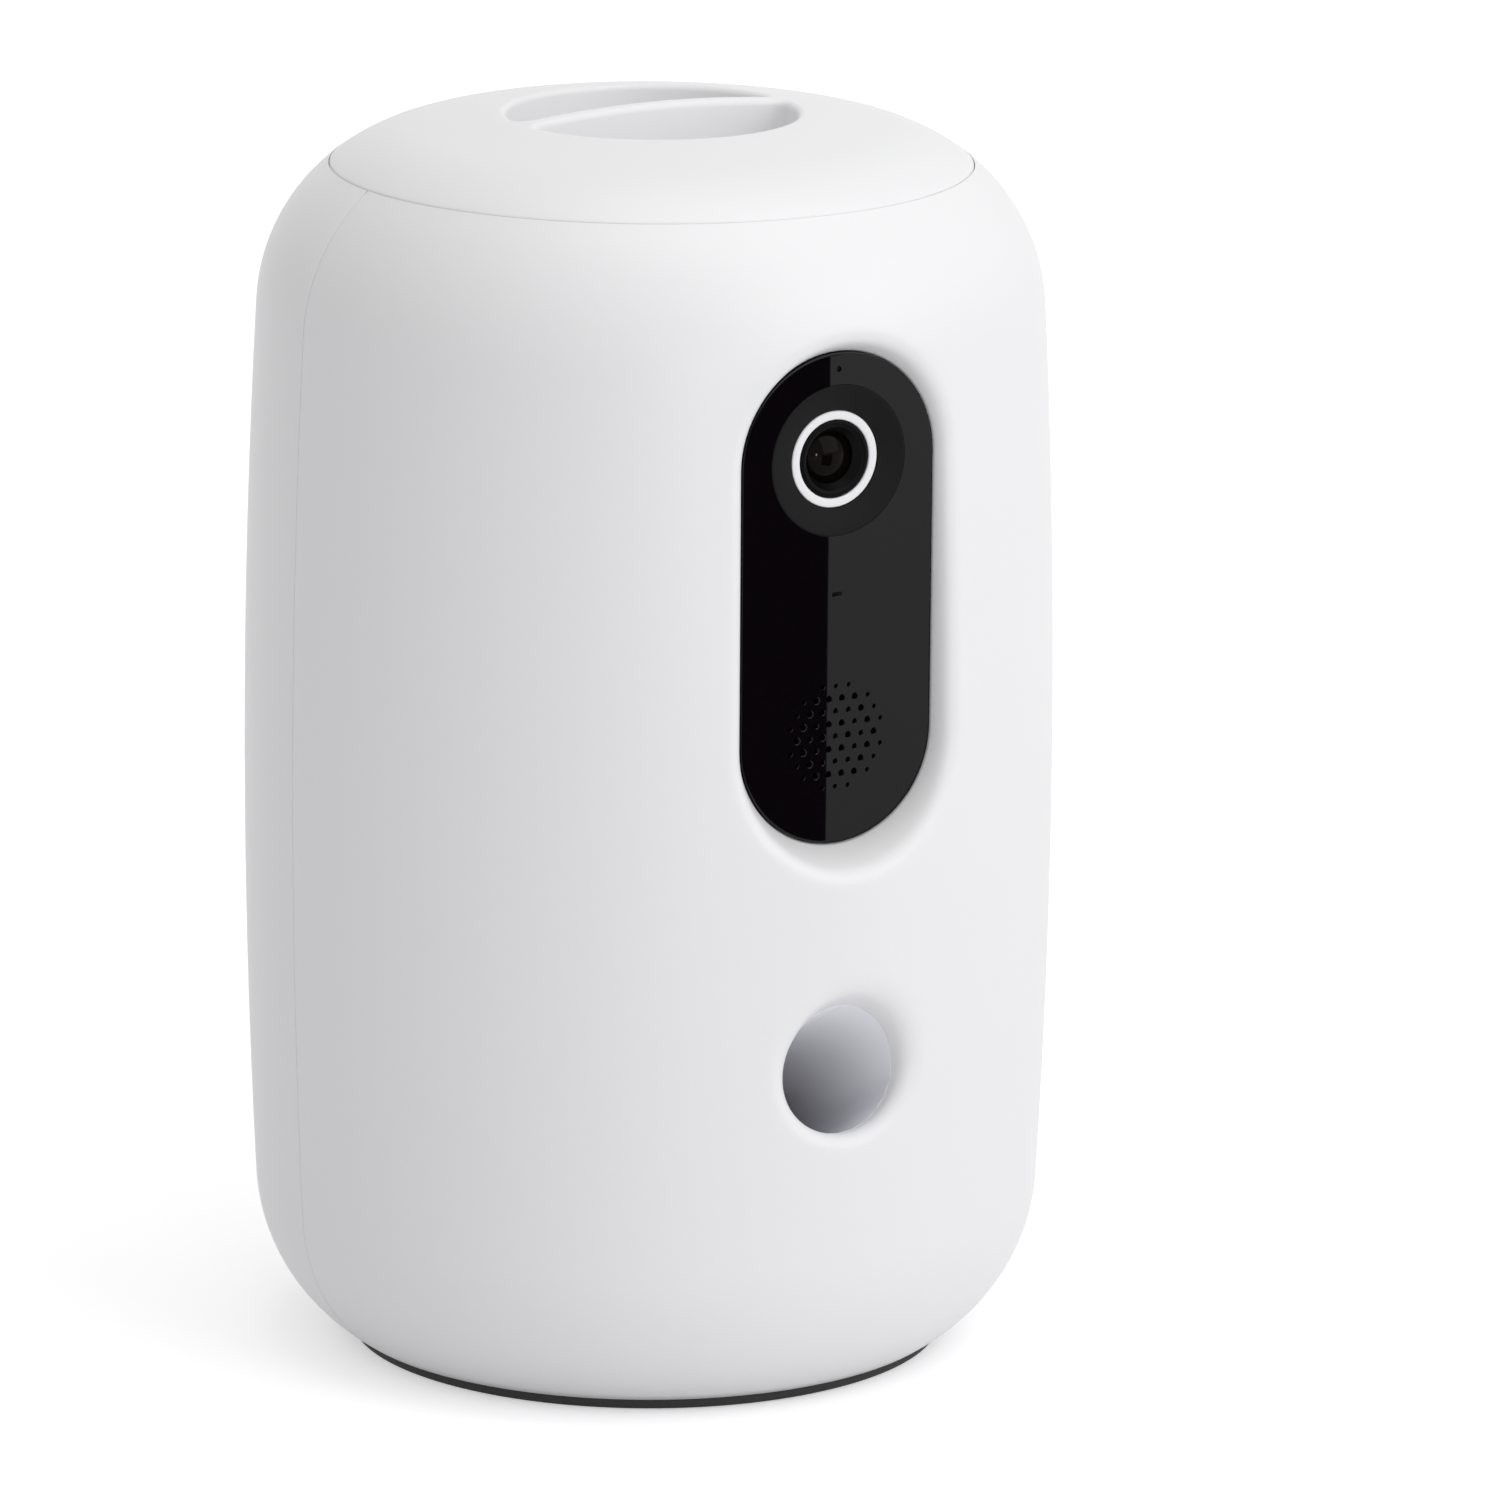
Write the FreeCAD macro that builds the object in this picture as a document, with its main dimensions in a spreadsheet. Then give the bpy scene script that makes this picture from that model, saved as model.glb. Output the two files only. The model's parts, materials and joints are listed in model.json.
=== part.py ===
"""A treat tossing pet camera: a white barrel-shaped casing with a lift-off lid, a treat hopper with a
star-shaped feed wheel, a paddle wheel that throws the treats out of a slanted mouth, and a camera and
speaker behind a glossy front panel. Millimetres, +Z up, front towards -Y, origin on the table under the
axis."""

import FreeCAD, Part
import math
import os

import Sketcher
from FreeCAD import Placement, Rotation, Vector

# Driving dimensions, in millimetres, degrees and counts
SIZES = {
    # casing, a body of revolution
    "body_radius": 72.6,
    "body_height": 225.5,
    "waist_height": 104.5,
    "belt_half": 32,
    "side_radius": 1537,
    "shoulder_radius": 33.6,
    "heel_radius": 34,
    "shoulder_height": 188.4,
    "heel_height": 31,
    "rim_height": 2.3,
    "rim_bore": 52.6,
    "heel_bore": 43,
    "heel_room": 63.5,
    "shoulder_room": 64.5,
    "shell_wall": 5,
    "hidden_sides": 24,
    "shown_sides": 48,
    # parting line between the two shells
    "tongue_depth": 2,
    "tongue_width": 1.1,
    "tongue_play": 0.15,
    # lid
    "lid_radius": 56.95,
    "lid_gap": 0.35,
    "lid_skirt": 5.4,
    "lid_bottom": 211.5,
    "grip_radius": 25.9,
    "grip_floor": 211.7,
    "grip_wall": 2,
    "bar_top": 3.6,
    "bar_foot": 5.4,
    "liner_radius": 50.8,
    "liner_bottom": 205,
    "liner_wall": 2.3,
    "seal_radius": 52.7,
    "key_width": 6,
    "key_drop": 3,
    "lid_post_spread": 28,
    # front panel and its recess
    "panel_face": 65.2,
    "panel_half": 19.15,
    "panel_arc_top": 173.3,
    "panel_arc_low": 124.1,
    "panel_thick": 2,
    "panel_play": 0.15,
    "recess_flare": 3.4,
    "carrier_floor": 1.7,
    "carrier_wall": 2.4,
    # camera
    "bezel_radius": 13.4,
    "bezel_depth": 1.2,
    "light_outer": 8.6,
    "light_inner": 6.95,
    "barrel_radius": 6.85,
    "lens_radius": 4.6,
    "mic_height": 189.5,
    "mic_radius": 0.45,
    "lamp_height": 149.5,
    "lamp_width": 1.9,
    "lamp_slot": 0.7,
    # speaker and its pattern of holes
    "hole_pitch": 2.6,
    "hole_large": 0.54,
    "hole_middle": 0.43,
    "hole_small": 0.34,
    "speaker_radius": 13,
    "speaker_magnet": 9.5,
    # treat mouth
    "mouth_radius": 11.6,
    "mouth_height": 65.5,
    "mouth_face": 69.5,
    "mouth_slope": 30,
    "tube_wall": 2,
    "tube_sides": 24,
    # base
    "plate_thick": 2.5,
    "foot_outer": 53.6,
    "foot_inner": 45,
    "boss_circle": 47,
    "screw_hole": 1.3,
    # hopper
    "hopper_radius": 55,
    "hopper_wall": 2,
    "hopper_front": 40,
    "hopper_top": 211.2,
    "flange_height": 202,
    "flange_thick": 2.4,
    "flange_radius": 62.3,
    "flange_screws": 59.6,
    # feed wheel
    "feed_back": 8,
    "well_radius": 35.4,
    "well_floor": 94,
    "well_depth": 14,
    "floor_thick": 2.5,
    "vane_count": 6,
    "vane_radius": 34.6,
    "vane_thick": 2.4,
    "vane_height": 12.5,
    "feed_hub": 7,
    "feed_shaft": 2,
    "drop_radius": 9.5,
    "drop_offset": 23,
    # gear train under the hopper
    "gear_module": 0.9,
    "feed_teeth": 22,
    "idler_teeth": 20,
    "pinion_teeth": 12,
    "gear_bottom": 83.5,
    "gear_thick": 5,
    "tooth_top": 0.8,
    "tooth_foot": 1.15,
    "backlash": 0.32,
    # paddle wheel and its drum
    "drum_front": 6,
    "drum_height": 45,
    "drum_radius": 24,
    "drum_half": 12,
    "drum_wall": 2.5,
    "paddle_count": 3,
    "paddle_radius": 22.6,
    "paddle_thick": 2.2,
    "paddle_hub": 5.5,
    "toss_shaft": 1.5,
    # electronics and rear sockets
    "board_height": 14,
    "board_thick": 1.6,
    "inlet_face": 61.5,
    "inlet_width": 8.9,
    "inlet_height": 3.2,
    "reset_side": 17,
    "reset_radius": 2,
    "run_gap": 0.08,
}

doc = FreeCAD.newDocument("TreatTosser")
sheet = doc.addObject("Spreadsheet::Sheet", "Sizes")
for row, (alias, number) in enumerate(SIZES.items(), 1):
    sheet.set(f"A{row}", alias)
    sheet.set(f"B{row}", str(number))
    sheet.setAlias(f"B{row}", alias)
doc.recompute()


class Size:
    """A number and the sheet expression that gives it, so that sums of sizes stay bound to the sheet."""

    def __init__(self, value, text):
        self.value = float(value)
        self.text = text

    def joined(self, other, sign, value):
        return Size(value, f"({self.text} {sign} {size(other).text})")

    def __add__(self, other):
        return self.joined(other, "+", self.value + size(other).value)

    def __sub__(self, other):
        return self.joined(other, "-", self.value - size(other).value)

    def __mul__(self, other):
        return self.joined(other, "*", self.value * size(other).value)

    def __truediv__(self, other):
        return self.joined(other, "/", self.value / size(other).value)

    def __radd__(self, other):
        return size(other) + self

    def __rsub__(self, other):
        return size(other) - self

    def __rmul__(self, other):
        return size(other) * self

    def __neg__(self):
        return size(0) - self

    def __float__(self):
        return self.value


def size(number):
    return number if isinstance(number, Size) else Size(number, f"({float(number)})")


class Sheet:
    """Reads the sheet's cells by alias."""

    def __getattr__(self, alias):
        return Size(sheet.get(alias), f"Sizes.{alias}")


d = Sheet()
parts = []


def bind(obj, path, number):
    """Sets a property and, where the number comes from the sheet, ties it there."""
    number = size(number)
    if "Sizes." in number.text:
        obj.setExpression(path, number.text)
    elif hasattr(obj, path):
        setattr(obj, path, number.value)


def at(obj, point, rotation=None):
    """Places an object, with each coordinate tied to the sheet where it comes from there."""
    obj.Placement = Placement(Vector(*[float(c) for c in point]), rotation or Rotation())
    for axis, number in zip("xyz", point):
        bind(obj, f"Placement.Base.{axis}", number)
    return obj


def moved(obj, placement):
    """Moves a placed object on, from where it stands now."""
    for axis in "xyz":
        obj.setExpression(f"Placement.Base.{axis}", None)
    obj.Placement = placement * obj.Placement
    return obj


AXES = {
    "Z": Rotation(),
    "-Z": Rotation(Vector(1, 0, 0), 180),
    "X": Rotation(Vector(0, 1, 0), 90),
    "-X": Rotation(Vector(0, 1, 0), -90),
    "Y": Rotation(Vector(1, 0, 0), -90),
    "-Y": Rotation(Vector(1, 0, 0), 90),
}


def block(name, xs, ys, zs):
    """A box between three pairs of coordinates."""
    obj = doc.addObject("Part::Box", name)
    for path, (low, high) in zip(("Length", "Width", "Height"), (xs, ys, zs)):
        bind(obj, path, size(high) - low)
    return at(obj, [span[0] for span in (xs, ys, zs)])


def rod(name, radius, length, point, axis="Z"):
    obj = doc.addObject("Part::Cylinder", name)
    bind(obj, "Radius", radius)
    bind(obj, "Height", length)
    return at(obj, point, AXES[axis])


def fuse(name, *pieces):
    obj = doc.addObject("Part::MultiFuse", name)
    obj.Shapes = list(pieces)
    obj.Refine = True
    return obj


def cut(name, base, *tools):
    obj = doc.addObject("Part::Cut", name)
    obj.Base = base
    obj.Tool = tools[0] if len(tools) == 1 else fuse(name + "Tools", *tools)
    return obj


def common(name, first, second):
    obj = doc.addObject("Part::Common", name)
    obj.Base = first
    obj.Tool = second
    return obj


def prism(name, radius, length, point, axis="Z", sides=6):
    """A prism, for screws, the small holes that repeat and round faces that nothing shows."""
    obj = doc.addObject("Part::Prism", name)
    obj.Polygon = int(float(sides))
    if isinstance(sides, Size):
        bind(obj, "Polygon", sides)
    bind(obj, "Circumradius", radius)
    bind(obj, "Height", length)
    return at(obj, point, AXES[axis])


def flats_outside(radius):
    """Corner radius of a prism with the hidden count of sides whose flats touch a circle from outside."""
    return radius / math.cos(math.pi / float(d.hidden_sides))


def pegs(name, radius, length, places, start, axis="Z", sides=6):
    """Equal prisms along an axis, all from the same start, at places in the plane across it."""
    row = []
    for index, place in enumerate(places):
        point = list(place)
        point.insert("XYZ".index(axis[-1]), start)
        row.append(prism(f"{name}{index}", radius, length, point, axis, sides))
    return row


def ring(name, outer, inner, length, point, axis="Z"):
    return cut(
        name,
        rod(name + "Outer", outer, length, point, axis),
        rod(name + "Bore", inner, length, point, axis),
    )


def group(name, pieces):
    """Identical pieces that share one node, as separate solids."""
    obj = doc.addObject("Part::Compound", name)
    obj.Links = list(pieces)
    return obj


def node(obj, label):
    obj.Label = label
    parts.append(obj)
    return obj


def sketch_on(body, name, role, offset=0):
    """A sketch on one of a body's own origin planes, moved along the plane's normal."""
    sketch = body.newObject("Sketcher::SketchObject", name)
    plane = next(f for f in body.Origin.OriginFeatures if f.Role == role)
    sketch.AttachmentSupport = [(plane, "")]
    sketch.MapMode = "FlatFace"
    sketch.AttachmentOffset = Placement(Vector(0, 0, float(offset)), Rotation())
    bind(sketch, "AttachmentOffset.Base.z", offset)
    return sketch


def pin_point(sketch, geometry, end, x, y):
    """Fixes a point of the sketch at coordinates that stay tied to the sheet."""
    for kind, number, axis in (("DistanceX", x, -2), ("DistanceY", y, -1)):
        number = size(number)
        if number.value == 0:
            sketch.addConstraint(Sketcher.Constraint("PointOnObject", geometry, end, axis))
            continue
        index = sketch.addConstraint(
            Sketcher.Constraint(kind, -1, 1, geometry, end, number.value)
        )
        bind(sketch, f"Constraints[{index}]", number)


def arc_between(start, end, radius):
    """The short arc between two points; a positive radius turns left on the way."""
    chord = end - start
    middle = (start + end) * 0.5
    rise = math.sqrt(radius**2 - (chord.Length / 2) ** 2)
    left = Vector(-chord.y, chord.x, 0).normalize()
    centre = middle + left * (rise if radius > 0 else -rise)
    first, last = (start, end) if radius > 0 else (end, start)
    angles = [math.atan2(p.y - centre.y, p.x - centre.x) for p in (first, last)]
    return Part.ArcOfCircle(Part.Circle(centre, Vector(0, 0, 1), abs(radius)), *angles)


def draw(sketch, corners):
    """A closed outline. A corner is (x, y), or (x, y, radius) where an arc leads to the next corner."""
    spots = [Vector(float(c[0]), float(c[1]), 0) for c in corners]
    ends = []
    for index, corner in enumerate(corners):
        start, end = spots[index], spots[(index + 1) % len(spots)]
        if len(corner) == 2:
            geometry = sketch.addGeometry(Part.LineSegment(start, end))
            ends.append((geometry, 1, 2))
            continue
        geometry = sketch.addGeometry(arc_between(start, end, float(corner[2])))
        ends.append((geometry, 1, 2) if float(corner[2]) > 0 else (geometry, 2, 1))
        radius = corner[2] if float(corner[2]) > 0 else -corner[2]
        index = sketch.addConstraint(Sketcher.Constraint("Radius", geometry, float(radius)))
        bind(sketch, f"Constraints[{index}]", radius)
    for (geometry, first, last), (following, start, _), corner in zip(
        ends, ends[1:] + ends[:1], corners
    ):
        sketch.addConstraint(Sketcher.Constraint("Coincident", geometry, last, following, start))
        pin_point(sketch, geometry, first, corner[0], corner[1])
    return sketch


def turned(name, corners, plane="XZ_Plane", angle=360, reverse=False):
    """A body turned from an outline about the axis through the plane's origin."""
    body = doc.addObject("PartDesign::Body", name)
    sketch = draw(sketch_on(body, name + "Outline", plane), corners)
    feature = body.newObject("PartDesign::Revolution", name + "Turn")
    feature.Profile = sketch
    feature.ReferenceAxis = (sketch, ["V_Axis"])
    feature.Angle = angle
    feature.Reversed = reverse
    return body


def padded(name, corners, plane, length, offset=0):
    """A body raised from an outline on an origin plane."""
    body = doc.addObject("PartDesign::Body", name)
    sketch = draw(sketch_on(body, name + "Outline", plane, offset), corners)
    feature = body.newObject("PartDesign::Pad", name + "Pad")
    feature.Profile = sketch
    bind(feature, "Length", length)
    return body


def tangent_chain(inset):
    """Centres, radii and joint angles of the four arcs that make the casing's side view."""
    side, heel, shoulder = d.side_radius - inset, d.heel_radius - inset, d.shoulder_radius - inset
    top = float(d.body_height - inset)
    middle = Vector(float(d.body_radius - d.side_radius), float(d.waist_height), 0)

    def touching(radius, height):
        rise = float(height) - middle.y
        reach = math.sqrt((float(side) - float(radius)) ** 2 - rise**2)
        return Vector(middle.x + reach, float(height), 0)

    low, high = touching(heel, d.heel_height), touching(shoulder, d.shoulder_height)
    drop, small = top - high.y, float(shoulder)
    dome = (high.x**2 + drop**2 - small**2) / (2 * (drop - small))
    crown = Vector(0, top - dome, 0)
    ways = [low - middle, high - middle, high - crown, Vector(0, 1, 0)]
    return [low, middle, high, crown], [float(heel), float(side), small, dome], [
        math.atan2(way.y, way.x) for way in ways
    ]


def casing(name, inset, low, chords):
    """The casing as a solid of revolution. Four arcs that run into one another give the heel, the
    bulging side, the shoulder and the dome. The arcs are construction and chords along them make the
    surface: equal ones, but on the side an upright belt at the waist between two slopes."""
    centres, radii, joints = tangent_chain(inset)
    first_angle = math.asin((float(low) - centres[0].y) / radii[0])
    angles = [first_angle] + joints
    body = doc.addObject("PartDesign::Body", name)
    sketch = sketch_on(body, name + "Outline", "XZ_Plane")
    arcs, lines = [], []
    for centre, radius, start, end, count in zip(centres, radii, angles, angles[1:], chords):
        circle = Part.Circle(centre, Vector(0, 0, 1), radius)
        arcs.append(sketch.addGeometry(Part.ArcOfCircle(circle, start, end), count > 0))

    def add(*constraint):
        return sketch.addConstraint(Sketcher.Constraint(*constraint))

    def measure(kind, *places, number):
        index = add(kind, *places, float(number))
        bind(sketch, f"Constraints[{index}]", number)

    def spot(index, step, count):
        angle = angles[index] + (angles[index + 1] - angles[index]) * step / count
        if index == 1 and count == 3 and step in (1, 2):
            angle = math.asin(float(d.belt_half) / radii[1]) * (1 if step == 2 else -1)
        return centres[index] + Vector(math.cos(angle), math.sin(angle), 0) * radii[index]

    for index, count in enumerate(chords):
        for step in range(count):
            ends = spot(index, step, count), spot(index, step + 1, count)
            line = sketch.addGeometry(Part.LineSegment(*ends))
            if step:
                add("Coincident", lines[-1], 2, line, 1)
                add("PointOnObject", line, 1, arcs[index])
                if index != 1:
                    add("Equal", lines[-1], line)
                elif step == 1:
                    add("Vertical", line)
                    measure("DistanceY", -1, 1, line, 1, number=d.waist_height - d.belt_half)
            else:
                add("Coincident", line, 1, arcs[index], 1)
            lines.append(line)
        if count:
            add("Coincident", lines[-1], 2, arcs[index], 2)
    top, foot = Vector(0, float(d.body_height - inset), 0), Vector(0, float(low), 0)
    axis = sketch.addGeometry(Part.LineSegment(top, foot))
    bottom = sketch.addGeometry(Part.LineSegment(foot, spot(0, 0, 1)))
    for before, after in ((lines[-1], axis), (axis, bottom), (bottom, lines[0])):
        add("Coincident", before, 2, after, 1)
    for before, after in zip(arcs, arcs[1:]):
        add("Tangent", before, 2, after, 1)
    for geometry, point in ((bottom, 1), (arcs[3], 2), (arcs[3], 3)):
        add("PointOnObject", geometry, point, -2)
    add("Horizontal", bottom)
    measure("DistanceY", -1, 1, bottom, 1, number=low)
    measure("DistanceY", -1, 1, arcs[3], 2, number=d.body_height - inset)
    measure("Radius", arcs[0], number=d.heel_radius - inset)
    measure("Radius", arcs[1], number=d.side_radius - inset)
    measure("Radius", arcs[2], number=d.shoulder_radius - inset)
    measure("DistanceX", -1, 1, arcs[1], 3, number=d.body_radius - d.side_radius)
    measure("DistanceY", -1, 1, arcs[1], 3, number=d.waist_height)
    measure("DistanceY", -1, 1, arcs[0], 3, number=d.heel_height)
    measure("DistanceY", -1, 1, arcs[2], 3, number=d.shoulder_height)
    feature = body.newObject("PartDesign::Revolution", name + "Turn")
    feature.Profile = sketch
    feature.ReferenceAxis = (sketch, ["V_Axis"])
    feature.Angle = 360
    return body


# Heights and places that follow from the driving sizes
plate_top = d.rim_height + d.plate_thick
front_plane = -d.panel_face
panel_back = front_plane + d.panel_thick
deck_bottom = d.well_floor - d.floor_thick
well_top = d.well_floor + d.well_depth
gear_top = d.gear_bottom + d.gear_thick
bracket_top = d.gear_bottom - 2
bracket_bottom = bracket_top - 2
drop_y = d.feed_back - d.drop_offset
drum_y = -d.drum_front
board_top = d.board_height + d.board_thick
socket_height = board_top + d.inlet_height / 2
REACH = 200


def pill(name, half, top, low, back, depth, flare=0):
    """An upright pill shape, rounded above and below, from the plane y = back forward by depth."""
    body = doc.addObject("PartDesign::Body", name)
    sketch = sketch_on(body, name + "Outline", "XZ_Plane", -size(back))
    radius, high, base = float(half), float(top), float(low)
    normal = Vector(0, 0, 1)
    upper = Part.ArcOfCircle(Part.Circle(Vector(0, high, 0), normal, radius), 0, math.pi)
    lower = Part.ArcOfCircle(Part.Circle(Vector(0, base, 0), normal, radius), math.pi, 2 * math.pi)
    left = Part.LineSegment(Vector(-radius, high, 0), Vector(-radius, base, 0))
    right = Part.LineSegment(Vector(radius, base, 0), Vector(radius, high, 0))
    sketch.addGeometry([upper, left, lower, right])
    for first, second in ((0, 1), (1, 2), (2, 3), (3, 0)):
        sketch.addConstraint(Sketcher.Constraint("Tangent", first, 2, second, 1))
    sketch.addConstraint(Sketcher.Constraint("Vertical", 1))
    pin_point(sketch, 0, 3, 0, top)
    pin_point(sketch, 2, 3, 0, low)
    index = sketch.addConstraint(Sketcher.Constraint("Radius", 0, radius))
    bind(sketch, f"Constraints[{index}]", half)
    feature = body.newObject("PartDesign::Pad", name + "Pad")
    feature.Profile = sketch
    bind(feature, "Length", depth)
    if flare:
        feature.TaperAngle = flare
    return body


def blunt_pill(name, half, top, low, back, depth):
    """A pill shape whose ends have eight flats, for faces that nothing shows."""
    corners = []
    for middle, start in ((top, 0), (low, 180)):
        for step in range(9):
            turn = math.radians(start + step * 22.5)
            corners.append((half * round(math.cos(turn), 6), middle + half * round(math.sin(turn), 6)))
    return padded(name, corners, "XZ_Plane", depth, -size(back))


def front_half(name, solid):
    return common(name, solid, block(name + "Room", (-REACH, REACH), (-REACH, 0), (-REACH, 2 * REACH)))


def rear_half(name, solid):
    return common(name, solid, block(name + "Room", (-REACH, REACH), (0, REACH), (-REACH, 2 * REACH)))


# Casing: the outer surface, the hollow and what both shells share
outer_solid = casing("CasingOuter", 0, d.rim_height, (3, 3, 5, 1))
inner_radius = d.body_radius - d.shell_wall
flange_top = d.flange_height + d.flange_thick
opening = d.lid_radius + d.lid_gap
hollow_steps = [
    (d.rim_bore, d.rim_height - 1, plate_top),
    (d.heel_bore, plate_top, plate_top + 8.2),
    (d.heel_room, plate_top + 8.2, plate_top + 15.2),
    (inner_radius, plate_top + 15.2, d.shoulder_height + 7.6),
    (d.shoulder_room, d.shoulder_height + 7.6, flange_top),
]
hollow = fuse(
    "CasingHollow",
    *[
        prism(f"HollowStep{n}", radius, top - foot, (0, 0, foot), sides=d.hidden_sides)
        for n, (radius, foot, top) in enumerate(hollow_steps)
    ],
    rod("LidOpening", opening, 30, (0, 0, flange_top)),
)


def ring_places(radius, angles, centre=(0, 0)):
    """Points around a circle, as coordinates tied to the radius."""
    places = []
    for angle in angles:
        turn = math.radians(angle)
        places.append((radius * round(math.cos(turn), 6) + centre[0],
                       radius * round(math.sin(turn), 6) + centre[1]))
    return places


base_angles, flange_angles = (35, 145, 215, 325), (40, 140, 220, 320)
base_places = ring_places(d.boss_circle, base_angles)
flange_places = ring_places(d.flange_screws, flange_angles)


def screw_holes(name, angles):
    holes = []
    for index, angle in enumerate(angles):
        x, y = ring_places(d.boss_circle, [angle])[0]
        holes.append(prism(f"{name}Low{index}", d.screw_hole, 7.5, (x, y, plate_top)))
    for index, angle in enumerate(a for a in flange_angles if (a > 180) == (angles[0] > 180)):
        x, y = ring_places(d.flange_screws, [angle])[0]
        holes.append(prism(f"{name}High{index}", d.screw_hole, 5.5, (x, y, flange_top)))
    return holes


def screw(name, point, axis, reach, thread=1.1, head=2.3, head_thick=1.5):
    """A screw whose head bears on the plane through the point, its shank along the axis."""
    direction = AXES[axis].multVec(Vector(0, 0, 1))
    back = [c - head_thick * round(way, 6) for c, way in zip(point, direction)]
    return fuse(
        name,
        prism(name + "Head", head, head_thick, back, axis),
        prism(name + "Shank", thread, reach, point, axis),
    )


def screws(label, places, axis, reach, **form):
    pieces = [screw(f"{label}_{n}", place, axis, reach, **form) for n, place in enumerate(places)]
    return node(group(label + "_set", pieces), label)


# Front shell: recess for the panel, seat behind it, treat mouth
panel_top, panel_low = d.panel_arc_top, d.panel_arc_low
seat_half = d.panel_half + d.panel_play
carrier = blunt_pill(
    "Carrier",
    seat_half + d.recess_flare + d.carrier_wall,
    panel_top,
    panel_low,
    panel_back + d.carrier_floor,
    12,
)
recess = pill("Recess", seat_half, panel_top, panel_low, front_plane, 14, 27)
seat = pill("Seat", seat_half, panel_top, panel_low, panel_back, 6)
window = blunt_pill("Window", d.panel_half - 1.6, panel_top, panel_low, -50, 20)


def slanted(name, radius, start, end):
    """A bar with many flats that slopes up towards the mouth and is round as seen from the front. It
    runs from the plane y = start to y = end."""
    slope = math.tan(math.radians(float(d.mouth_slope)))
    sides = int(float(d.tube_sides))
    rim = [2 * math.pi * step / sides for step in range(sides + 1)]
    outline = Part.makePolygon([Vector(math.cos(a), 0, math.sin(a)) * float(radius) for a in rim])
    run = float(end) - float(start)
    bar = doc.addObject("Part::Feature", name)
    bar.Shape = Part.Face(outline).extrude(Vector(0, run, -slope * run))
    fall = slope * (float(start) + float(d.mouth_face))
    bar.Placement = Placement(Vector(0, float(start), float(d.mouth_height) - fall), Rotation())
    return bar


tube_outer = d.mouth_radius + d.tube_wall
camera_board_front = -48.6
camera_board_back = camera_board_front + d.board_thick
camera_posts = [(x, z) for x in (-21.3, 21.3) for z in (154, 170)]
inlet_pocket = block(
    "InletPocket",
    (-9.5, 23.5),
    (d.inlet_face, REACH),
    (socket_height - 5.5, socket_height + 5.5),
)
inlet_seat = common(
    "InletSeat",
    outer_solid,
    block("InletSeatRoom", (-12, 26), (d.inlet_face - 2, REACH), (13, socket_height + 8)),
)
shell_wall = cut("ShellWall", outer_solid, hollow)


def tongue(name, play):
    """The strips along the parting line, thinner than the wall, that keep the shells in line."""
    near = inner_radius + 1 - play
    far = near + d.tongue_width + 2 * play
    low, high = d.heel_height + 6 - play, d.shoulder_height - 6 + play
    strips = []
    for side, sign in (("Right", 1), ("Left", -1)):
        corners = [(near * sign, low), (far * sign, low), (far * sign, high), (near * sign, high)]
        strips.append(padded(f"{name}{side}", corners, "XZ_Plane", d.tongue_depth + play))
    return strips


front_shell = cut(
    "FrontShell",
    fuse(
        "FrontSolid",
        front_half("FrontWall", shell_wall),
        front_half("FrontCarrier", common("CarrierInside", outer_solid, carrier)),
        *pegs("CameraPost", 2.5, 13, camera_posts, camera_board_front, "-Y", 8),
    ),
    recess,
    seat,
    window,
    slanted("MouthBore", d.mouth_radius, -85, -55),
    *pegs("CameraPostHole", 0.9, 8, camera_posts, camera_board_front, "-Y"),
    *screw_holes("FrontHole", (215, 325)),
    *tongue("Groove", d.tongue_play),
)
rear_shell = cut(
    "RearShell",
    fuse(
        "RearSolid",
        rear_half("RearWall", shell_wall),
        rear_half("RearSeat", inlet_seat),
        *tongue("Tongue", 0),
    ),
    inlet_pocket,
    block(
        "InletHole",
        (-d.inlet_width / 2 - 0.3, d.inlet_width / 2 + 0.3),
        (d.inlet_face - 6, d.inlet_face + 1),
        (socket_height - d.inlet_height / 2 - 0.3, socket_height + d.inlet_height / 2 + 0.3),
    ),
    rod("ResetHole", d.reset_radius + 0.35, 8, (d.reset_side, d.inlet_face - 6, socket_height), "Y"),
    *screw_holes("RearHole", (35, 145)),
)
node(front_shell, "front_shell")
node(rear_shell, "rear_shell")

# Base: plate, rubber foot and the screws between them
leg_spread, leg_front, leg_back = 18, drum_y - 10, drum_y + 14
leg_places = [(x, y) for x in (-leg_spread, leg_spread) for y in (leg_front, leg_back)]
post_places = [(-23.5, 28), (23.5, 28), (-16, 36), (16, 36)]
base_plate = cut(
    "BasePlate",
    fuse(
        "PlateSolid",
        prism("PlateDisc", d.rim_bore - 0.15, d.plate_thick, (0, 0, d.rim_height), sides=d.hidden_sides),
        *pegs("Post", 2.8, d.board_height - plate_top, post_places, plate_top),
    ),
    *pegs("PlateHole", 1.5, 6, base_places, 0),
    *pegs("PlateSink", 2.6, 1.5, base_places, d.rim_height),
    *pegs("LegHole", 1.5, 6, leg_places, 0),
    *pegs("PostHole", 1.0, 8, post_places, d.board_height - 7),
)
node(base_plate, "base_plate")
foot_ring = cut(
    "FootRing",
    prism("FootDisc", d.foot_outer, d.rim_height, (0, 0, 0), sides=d.shown_sides),
    prism("FootBore", d.foot_inner, d.rim_height, (0, 0, 0), sides=d.hidden_sides),
)
node(foot_ring, "foot_ring")
screws("base_screws", [(x, y, d.rim_height + 1.5) for x, y in base_places], "Z", 8)
screws("leg_screws", [(x, y, d.rim_height) for x, y in leg_places], "Z", 6)


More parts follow.
